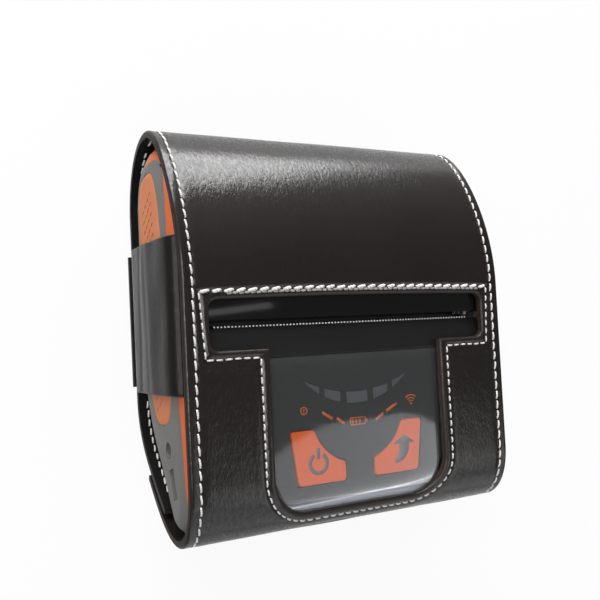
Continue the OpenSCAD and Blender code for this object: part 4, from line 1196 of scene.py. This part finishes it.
class PRINTER_OT_stitches(bpy.types.Operator):
    """Stitches along the edges of the leather and round the window"""

    bl_idname = "printer.stitches"
    bl_label = "Stitches"

    def execute(self, context):
        sizes = settings()
        r = sizes.stitch_radius / MM
        cover_ends = ("printer_body", "case_cover", (0, 0.0563, 0.015), (0, 0.0563, 0.0265))
        tail_ends = ("case_cover", "case_tail", (0, -0.0563, 0.0372), (0, -0.0563, 0.0310))
        for name, s0, s1, seed, under, ends in (
            ("cover_edge_stitches", S_CROWN, S_SEAM, 11, False, cover_ends),
            ("tail_edge_stitches", S_SEAM, S_END - 2, 11, False, tail_ends),
            ("back_edge_stitches", 3, S_CROWN, 17, False, None),
            ("back_inner_stitches", 3, S_CROWN, 19, True, None),
            ("cover_inner_stitches", S_CROWN, S_SEAM, 23, True, cover_ends),
        ):
            if ends:
                obj = side_row(name, s0, s1, r, seed, under=under)
                dress(obj, "thread")
                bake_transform(obj)
            else:
                obj = side_row(name, s0, s1, r, seed, under_strap, under)
                dress(obj, "thread", "printer_body")
        # Round the window, then the thick stitches along its top edge, and under them a thin thread whose
        # grey paints the shade on their lower half
        pitch, rope_pitch = sizes.window_stitch_pitch / MM, sizes.rope_pitch / MM
        runs = list(enumerate(split_runs(window_rings()[1])[1:]))
        pairs = [along_line(run * [side, 1], pitch, seed=40 + i) for i, run in runs for side in (1, -1)]
        a, b = (np.concatenate([pair[k] for pair in pairs]) for k in (0, 1))
        on_cover("window_stitches", a, b, -0.38, sizes.window_stitch_radius / MM, lift=0.26)
        a, b = along_line(top_line(-46.4, 46.4, ROW_Y, 60), rope_pitch, 0.9, seed=60)
        slant = [0, 0.28]
        on_cover("window_top_stitches", a + slant, b - slant, -0.34, sizes.rope_radius / MM, lift=0.30)
        # Painted shade: the grey thread under the thick stitches stands for their shaded lower half
        a, b = along_line(top_line(-39, 43, 8.45, 56), rope_pitch / 2, 1.0, seed=63)
        on_cover("window_top_shade_cord", a, b, -0.22, 0.40, "cord", lift=0.05, sink=0.05)
        return {"FINISHED"}


def split_runs(sti):
    """The stitch line's straight runs and bend on the right half, top run first."""
    d = np.diff(sti, axis=0)
    a = np.degrees(np.arctan2(d[:, 1], d[:, 0]))
    turn = np.abs((np.diff(a) + 180) % 360 - 180)
    cuts = [0] + [int(i) + 1 for i in np.nonzero(turn > 40)[0]] + [len(sti) - 1]
    return [sti[i : j + 1] for i, j in zip(cuts[:-1], cuts[1:])]


class PRINTER_OT_straps(bpy.types.Operator):
    """Side straps of the case"""

    bl_idname = "printer.straps"
    bl_label = "Straps"

    def execute(self, context):
        for side, word in WORD.items():
            obj = strap_surface(side, settings().waviness)
            dress(obj, "strap", replaces=[word + "_strap"])
            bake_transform(obj)
            dress(strap_tab(side), "leather", "printer_body", [word + "_strap_base"])
            corners = np.array([(22.5, -13.5), (48.8, -13.5), (48.8, 20.5), (22.5, 20.5), (22.5, -13.5)])
            pairs = [along_line(corners[i : i + 2], 3.0, seed=80 + i) for i in range(4)]
            a, b = (np.concatenate([pair[k] for pair in pairs]) for k in (0, 1))
            down = np.tile([0.0, 0.0, -1.0], (len(a), 1))
            p, q = (np.c_[side * v[:, 0], v[:, 1], np.full(len(v), 0.42)] for v in (a, b))
            row = stitches(word + "_tab_stitches", p, q, down, 0.34, lift=-0.02)
            dress(row, "thread", "printer_body")
        return {"FINISHED"}


def window_film():
    """The clear sheet: two layers over the printer's line, with a low wave. Near the low end it bulges, since
    it is stiffer than the nose is round, and it dips under the leather at the rim."""
    half, y0, y1 = 31.5, -8.0, -53.4
    s0, s1 = (float(np.interp(-y, -PRINTER_LINE.p[:, 0], PRINTER_LINE.s)) for y in (y0, y1))
    xs, ss = np.linspace(-half, half, 127), np.linspace(s0, s1, 110)
    x, s = (v.ravel() for v in np.meshgrid(xs, ss))
    y, z = PRINTER_LINE.at(s)
    drop = np.maximum(FACE_Z - z, 0)
    rim = np.minimum(STEM[0] + STEM_R - np.abs(x), y - (STEM[1] - STEM_R))
    turn = STEM_R - np.hypot(np.maximum(np.abs(x) - STEM[0], 0), np.maximum(STEM[1] - y, 0))
    rim = np.maximum(np.minimum(rim, np.where(y < STEM[1], turn, rim)), 0)
    most = settings().film_bulge / MM
    bulge = most * (1 - np.exp(-drop / most)) * (1 - bell(rim, 0.45))
    wave = np.minimum(0.03 * noise_wave(x, s, 71, 30), 0.02)
    layers = [placed(PRINTER_LINE, x, s, out + wave + bulge) for out in (0.78, 0.32)]
    return sheet("window_film", *layers, grid_faces(len(ss), len(xs), flip=True), sharp=40)


class PRINTER_OT_film(bpy.types.Operator):
    """Clear sheet behind the window's stem"""

    bl_idname = "printer.film"
    bl_label = "Window sheet"

    def execute(self, context):
        dress(window_film(), "film", "case_cover", ["clear_window"])
        return {"FINISHED"}


class PRINTER_OT_housings(bpy.types.Operator):
    """Housings, trims, grips, covers, light windows and tear points"""

    bl_idname = "printer.housings"
    bl_label = "Housings"

    def execute(self, context):
        for node, material, slot in (
            ("front_housing", "grey", "housing_grey"),
            ("back_housing", "grey", "housing_grey"),
            ("left_trim", "trim", "trim_orange"),
            ("right_trim", "trim", "trim_orange"),
            ("paper_cover", "lid", "cover_black"),
            ("head_cover", "head", "cover_black"),
            ("light_windows", "lens", "lens_grey"),
        ):
            body = "paper_cover" if node == "paper_cover" else "printer_body"
            bevel = 0.22 if node == "light_windows" else 0
            dress(smoothed_copy(node + "_skin", node, bevel=bevel), material, body, [node])
        for side, word in WORD.items():
            dress(grip_surface(side), "grip", "printer_body", [word + "_grip"])
            dress(grip_dashes(side), "dash", "printer_body")
        dress(tear_glint_points(), "tip", "printer_body")
        return {"FINISHED"}


class PRINTER_OT_controls(bpy.types.Operator):
    """Buttons with their marks, and the plain pictograms of the panel"""

    bl_idname = "printer.controls"
    bl_label = "Controls"

    def execute(self, context):
        edge = settings().button_edge / MM
        for side, word in ((-1, "power"), (1, "feed")):
            body = word + "_button"
            cap = pillow(body + "_cap", button_loop(side), 42.5, 45.2, edge, crown=0.05)
            dress(cap, "button", body, [body])
            dress(button_marks(side), "print", body)
        dress(panel_marks(), "legend", "printer_body")
        return {"FINISHED"}


def button_marks(side):
    """Power sign on the left button, curved arrow on the right one."""
    z = 45.235
    if side < 0:
        c = (-13.4, -37.8)
        ring, bar = arc_points(c, 2.6, 122, 418, 40), [(c[0], y) for y in (-33.7, -35, -36.6)]
        return flat_print("power_mark", [stroke(ring, 1.05), stroke(bar, 1.05)], z)
    stem = bezier([(14.8, -35.3), (14.9, -38.2), (13.8, -39.5), (11.4, -40.5)], 16)
    head = [np.array([(14.9, -32.3), *points]) for points in (
        ((14.85, -33.0), (11.2, -35.4)), ((14.95, -33.0), (18.5, -35.4)))]
    return flat_print("feed_mark", [stroke(stem, 3.4 - 2.6 * np.linspace(0, 1, 17) ** 1.8), head], z)


def panel_marks():
    """Plain pictograms under the lights: a warning ring, a battery and signal arcs, with tapered dashes."""
    x, y = -17.0, -23.4
    strips = [stroke(arc_points((x, y), 0.95, 0, 360, 28), 0.32)]
    for steps in ((0.45, 0, -0.1), (-0.36, -0.48, -0.6)):
        strips.append(stroke([(x, y + step) for step in steps], 0.34))
    x0, x1, y0, y1 = -2.6, 2.2, -28.6, -26.7
    for a, b in (((x0, y0), (x1, y0)), ((x0, y1), (x1, y1)), ((x0, y0), (x0, y1)), ((x1, y0), (x1, y1))):
        strips.append(stroke([a, (np.array(a) + b) / 2, b], 0.32))
    strips.append(stroke([(2.7, y) for y in (-27.2, -27.65, -28.1)], 0.5))
    for x in (-1.8, -0.7, 0.4):
        strips.append(stroke([(x, y) for y in (-27.1, -27.6, -28.2)], 0.6))
    arcs = (18.2, -24.4)
    for r in (0.9, 1.7, 2.5):
        strips.append(stroke(arc_points(arcs, r, 45, 135, 12), 0.34))
    strips.append(stroke(arc_points(arcs, 0.2, 0, 360, 12), 0.4))
    for a, b, w0, w1 in (
        ((-11.4, -24.3), (-8.2, -26.3), 0.7, 0.9), ((-6.9, -26.3), (-4.4, -28.0), 0.9, 0.7),
        ((5.8, -27.9), (8.4, -26.4), 0.7, 0.9), ((9.5, -25.8), (13.2, -23.9), 0.9, 0.7)):
        strips.append(stroke(np.linspace(a, b, 6), np.linspace(w0, w1, 6)))
    return flat_print("panel_pictograms", strips, 45.02)


NODE_FINISH = {
    "closure_pad": "hooks", "tear_bar": "bar", "cover_hinge_pin": "steel", "control_panel": "panel",
    "status_lights": "light", "main_board": "board", "button_switches": "inner",
    "usb_socket": "steel", "battery_pack": "wrap", "housing_screws": "steel", "mechanism_frame": "motor",
    "print_head": "ceramic", "head_springs": "steel", "platen_roller": "rubber", "platen_shaft": "steel",
    "platen_gear": "nylon", "platen_bushes": "nylon", "idler_gear": "nylon", "idler_axle": "steel",
    "drive_motor": "motor", "motor_pinion": "brass", "paper_bay": "inner", "paper_roll": "paper",
    "paper_core": "card", "paper_sensor": "sensor", "charge_socket": "inner",
}


class PRINTER_OT_parts(bpy.types.Operator):
    """Finishes of the parts that keep their own shape"""

    bl_idname = "printer.parts"
    bl_label = "Inner parts"

    def execute(self, context):
        for name, finish in NODE_FINISH.items():
            obj = NODES[name]
            for place in obj.material_slots:
                steel = place.material and "steel" in place.material.name and finish == "inner"
                place.material = MATERIALS["steel" if steel else finish]
        return {"FINISHED"}


class PRINTER_OT_stage(bpy.types.Operator):
    """Floor, lamps, surroundings and camera"""

    bl_idname = "printer.stage"
    bl_label = "Stage"

    def execute(self, context):
        bpy.ops.mesh.primitive_plane_add(size=6, location=(0, 0, -0.0001))
        floor = context.object
        floor.name = "floor"
        floor.data.materials.append(floor_material())
        context.scene.world = surroundings()
        power = settings().lamp_strength
        lamp("window lamp", (0.372, -0.312, 0.6), (0, -0.03, 0.046), 0.44, 0.6 * power, disk=True)
        lamp("far lamp", (-0.14, 1.13, -0.02), (0, 0.04, 0.04), 1.72, 63.0 * power, disk=True)
        lamp("side lamp", (-0.85, 0.05, 0.22), (-0.05, 0, 0.03), 0.4, 0.8 * power)
        lamp("fill lamp", (-0.55, 0.15, 1.0), (0, 0, 0.03), 0.7, 7.0 * power)
        lamp("small card", (0.19, 0.04, 0.60), (-0.035, 0.006, 0.044), 0.088, 0.0045 * power, wide=0.18)
        context.scene.camera = camera()
        context.scene.view_settings.view_transform = "Standard"
        return {"FINISHED"}


def floor_material():
    """White floor, a little brighter where the camera sees it. Seen in gloss, it darkens to the left of the
    object, like a table past its white sheet."""
    g = Graph("white floor")
    path = g.add("ShaderNodeLightPath")
    seen = g.math("MAXIMUM", path.outputs["Is Camera Ray"], path.outputs["Is Transmission Ray"])
    split = g.add("ShaderNodeSeparateXYZ", {0: g.place})
    dim = g.ramp(split.outputs[0], -0.085, -0.055, 0.9, 0.0)
    dim = g.math("MULTIPLY", dim, path.outputs["Is Glossy Ray"])
    plain = g.add("ShaderNodeBsdfDiffuse", {"Color": g.mix(dim, (0.8, 0.8, 0.8, 1), (0.02, 0.02, 0.02, 1))})
    glow = g.add("ShaderNodeEmission", {"Color": (1, 1, 1, 1), "Strength": 1.0})
    part = g.add("ShaderNodeMixShader", {0: 0.9, 1: plain.outputs[0], 2: glow.outputs[0]})
    return g.finish(g.add("ShaderNodeMixShader", {0: seen, 1: plain.outputs[0], 2: part.outputs[0]}))


def surroundings():
    """World: pale towards the button end and dark elsewhere, so that gloss shows soft bands."""
    g = Graph("surroundings", world=True)
    split = g.add("ShaderNodeSeparateXYZ", {0: g.coords.outputs["Generated"]})
    light = g.ramp(split.outputs["Y"], -0.68, -0.48, 1.0, 0.10)
    around = g.add("ShaderNodeBackground", {"Color": (0.95, 0.97, 1, 1), "Strength": light})
    white = g.add("ShaderNodeBackground", {"Color": (1, 1, 1, 1), "Strength": 1.0})
    seen = g.add("ShaderNodeLightPath").outputs["Is Camera Ray"]
    return g.finish(g.add("ShaderNodeMixShader", {0: seen, 1: around.outputs[0], 2: white.outputs[0]}))


def lamp(name, place, target, size, power, disk=False, wide=1.0):
    """An area lamp at a place, facing its target."""
    data = bpy.data.lights.new(name, "AREA")
    data.shape = "DISK" if disk else "RECTANGLE"
    data.size = size * wide
    data.size_y = size
    data.energy = power
    obj = bpy.data.objects.new(name, data)
    bpy.context.scene.collection.objects.link(obj)
    obj.location = place
    obj.rotation_euler = (Vector(target) - Vector(place)).to_track_quat("-Z", "Y").to_euler()


def camera():
    """The camera fitted to the photograph: its place, and its axes to the right and ahead."""
    data = bpy.data.cameras.new("camera")
    data.lens = 44.69
    data.sensor_width = 36
    data.shift_x = -0.0008
    data.shift_y = 0.0067
    data.clip_start = 0.01
    obj = bpy.data.objects.new("camera", data)
    bpy.context.scene.collection.objects.link(obj)
    right = Vector((0.8859, -0.0504, 0.4611)).normalized()
    ahead = Vector((0.4631, 0.0412, -0.8854)).normalized()
    up = right.cross(ahead).normalized()
    place = Vector((-0.1098, -0.0029, 0.2236))
    rows = [(*axes, shift) for *axes, shift in zip(right, up, -ahead, place)]
    obj.matrix_world = Matrix((*rows, (0, 0, 0, 1)))
    return obj


class PRINTER_PT_panel(bpy.types.Panel):
    """Sizes, colours and operators of the printer"""

    bl_idname = "PRINTER_PT_panel"
    bl_label = "Printer in its case"
    bl_space_type = "VIEW_3D"
    bl_region_type = "UI"
    bl_category = "Printer"

    def draw(self, context):
        for key in PrinterCaseSettings.__annotations__:
            self.layout.prop(context.scene.printer_case, key)
        for operator in OPERATORS:
            self.layout.operator(operator.bl_idname)


OPERATORS = (
    PRINTER_OT_materials, PRINTER_OT_cover, PRINTER_OT_stitches, PRINTER_OT_straps, PRINTER_OT_film,
    PRINTER_OT_housings, PRINTER_OT_controls, PRINTER_OT_parts, PRINTER_OT_stage,
)
CLASSES = (PrinterCaseSettings, *OPERATORS, PRINTER_PT_panel)


def register():
    for cls in CLASSES:
        bpy.utils.register_class(cls)
    bpy.types.Scene.printer_case = PointerProperty(type=PrinterCaseSettings)


def unregister():
    del bpy.types.Scene.printer_case
    for cls in reversed(CLASSES):
        bpy.utils.unregister_class(cls)


def main():
    """Registers the classes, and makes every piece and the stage."""
    register()
    bpy.ops.printer.materials()
    bpy.ops.printer.cover()
    bpy.ops.printer.stitches()
    bpy.ops.printer.straps()
    bpy.ops.printer.film()
    bpy.ops.printer.housings()
    bpy.ops.printer.controls()
    bpy.ops.printer.parts()
    bpy.ops.printer.stage()
    bpy.context.view_layer.update()


if __name__ == "__main__":
    main()
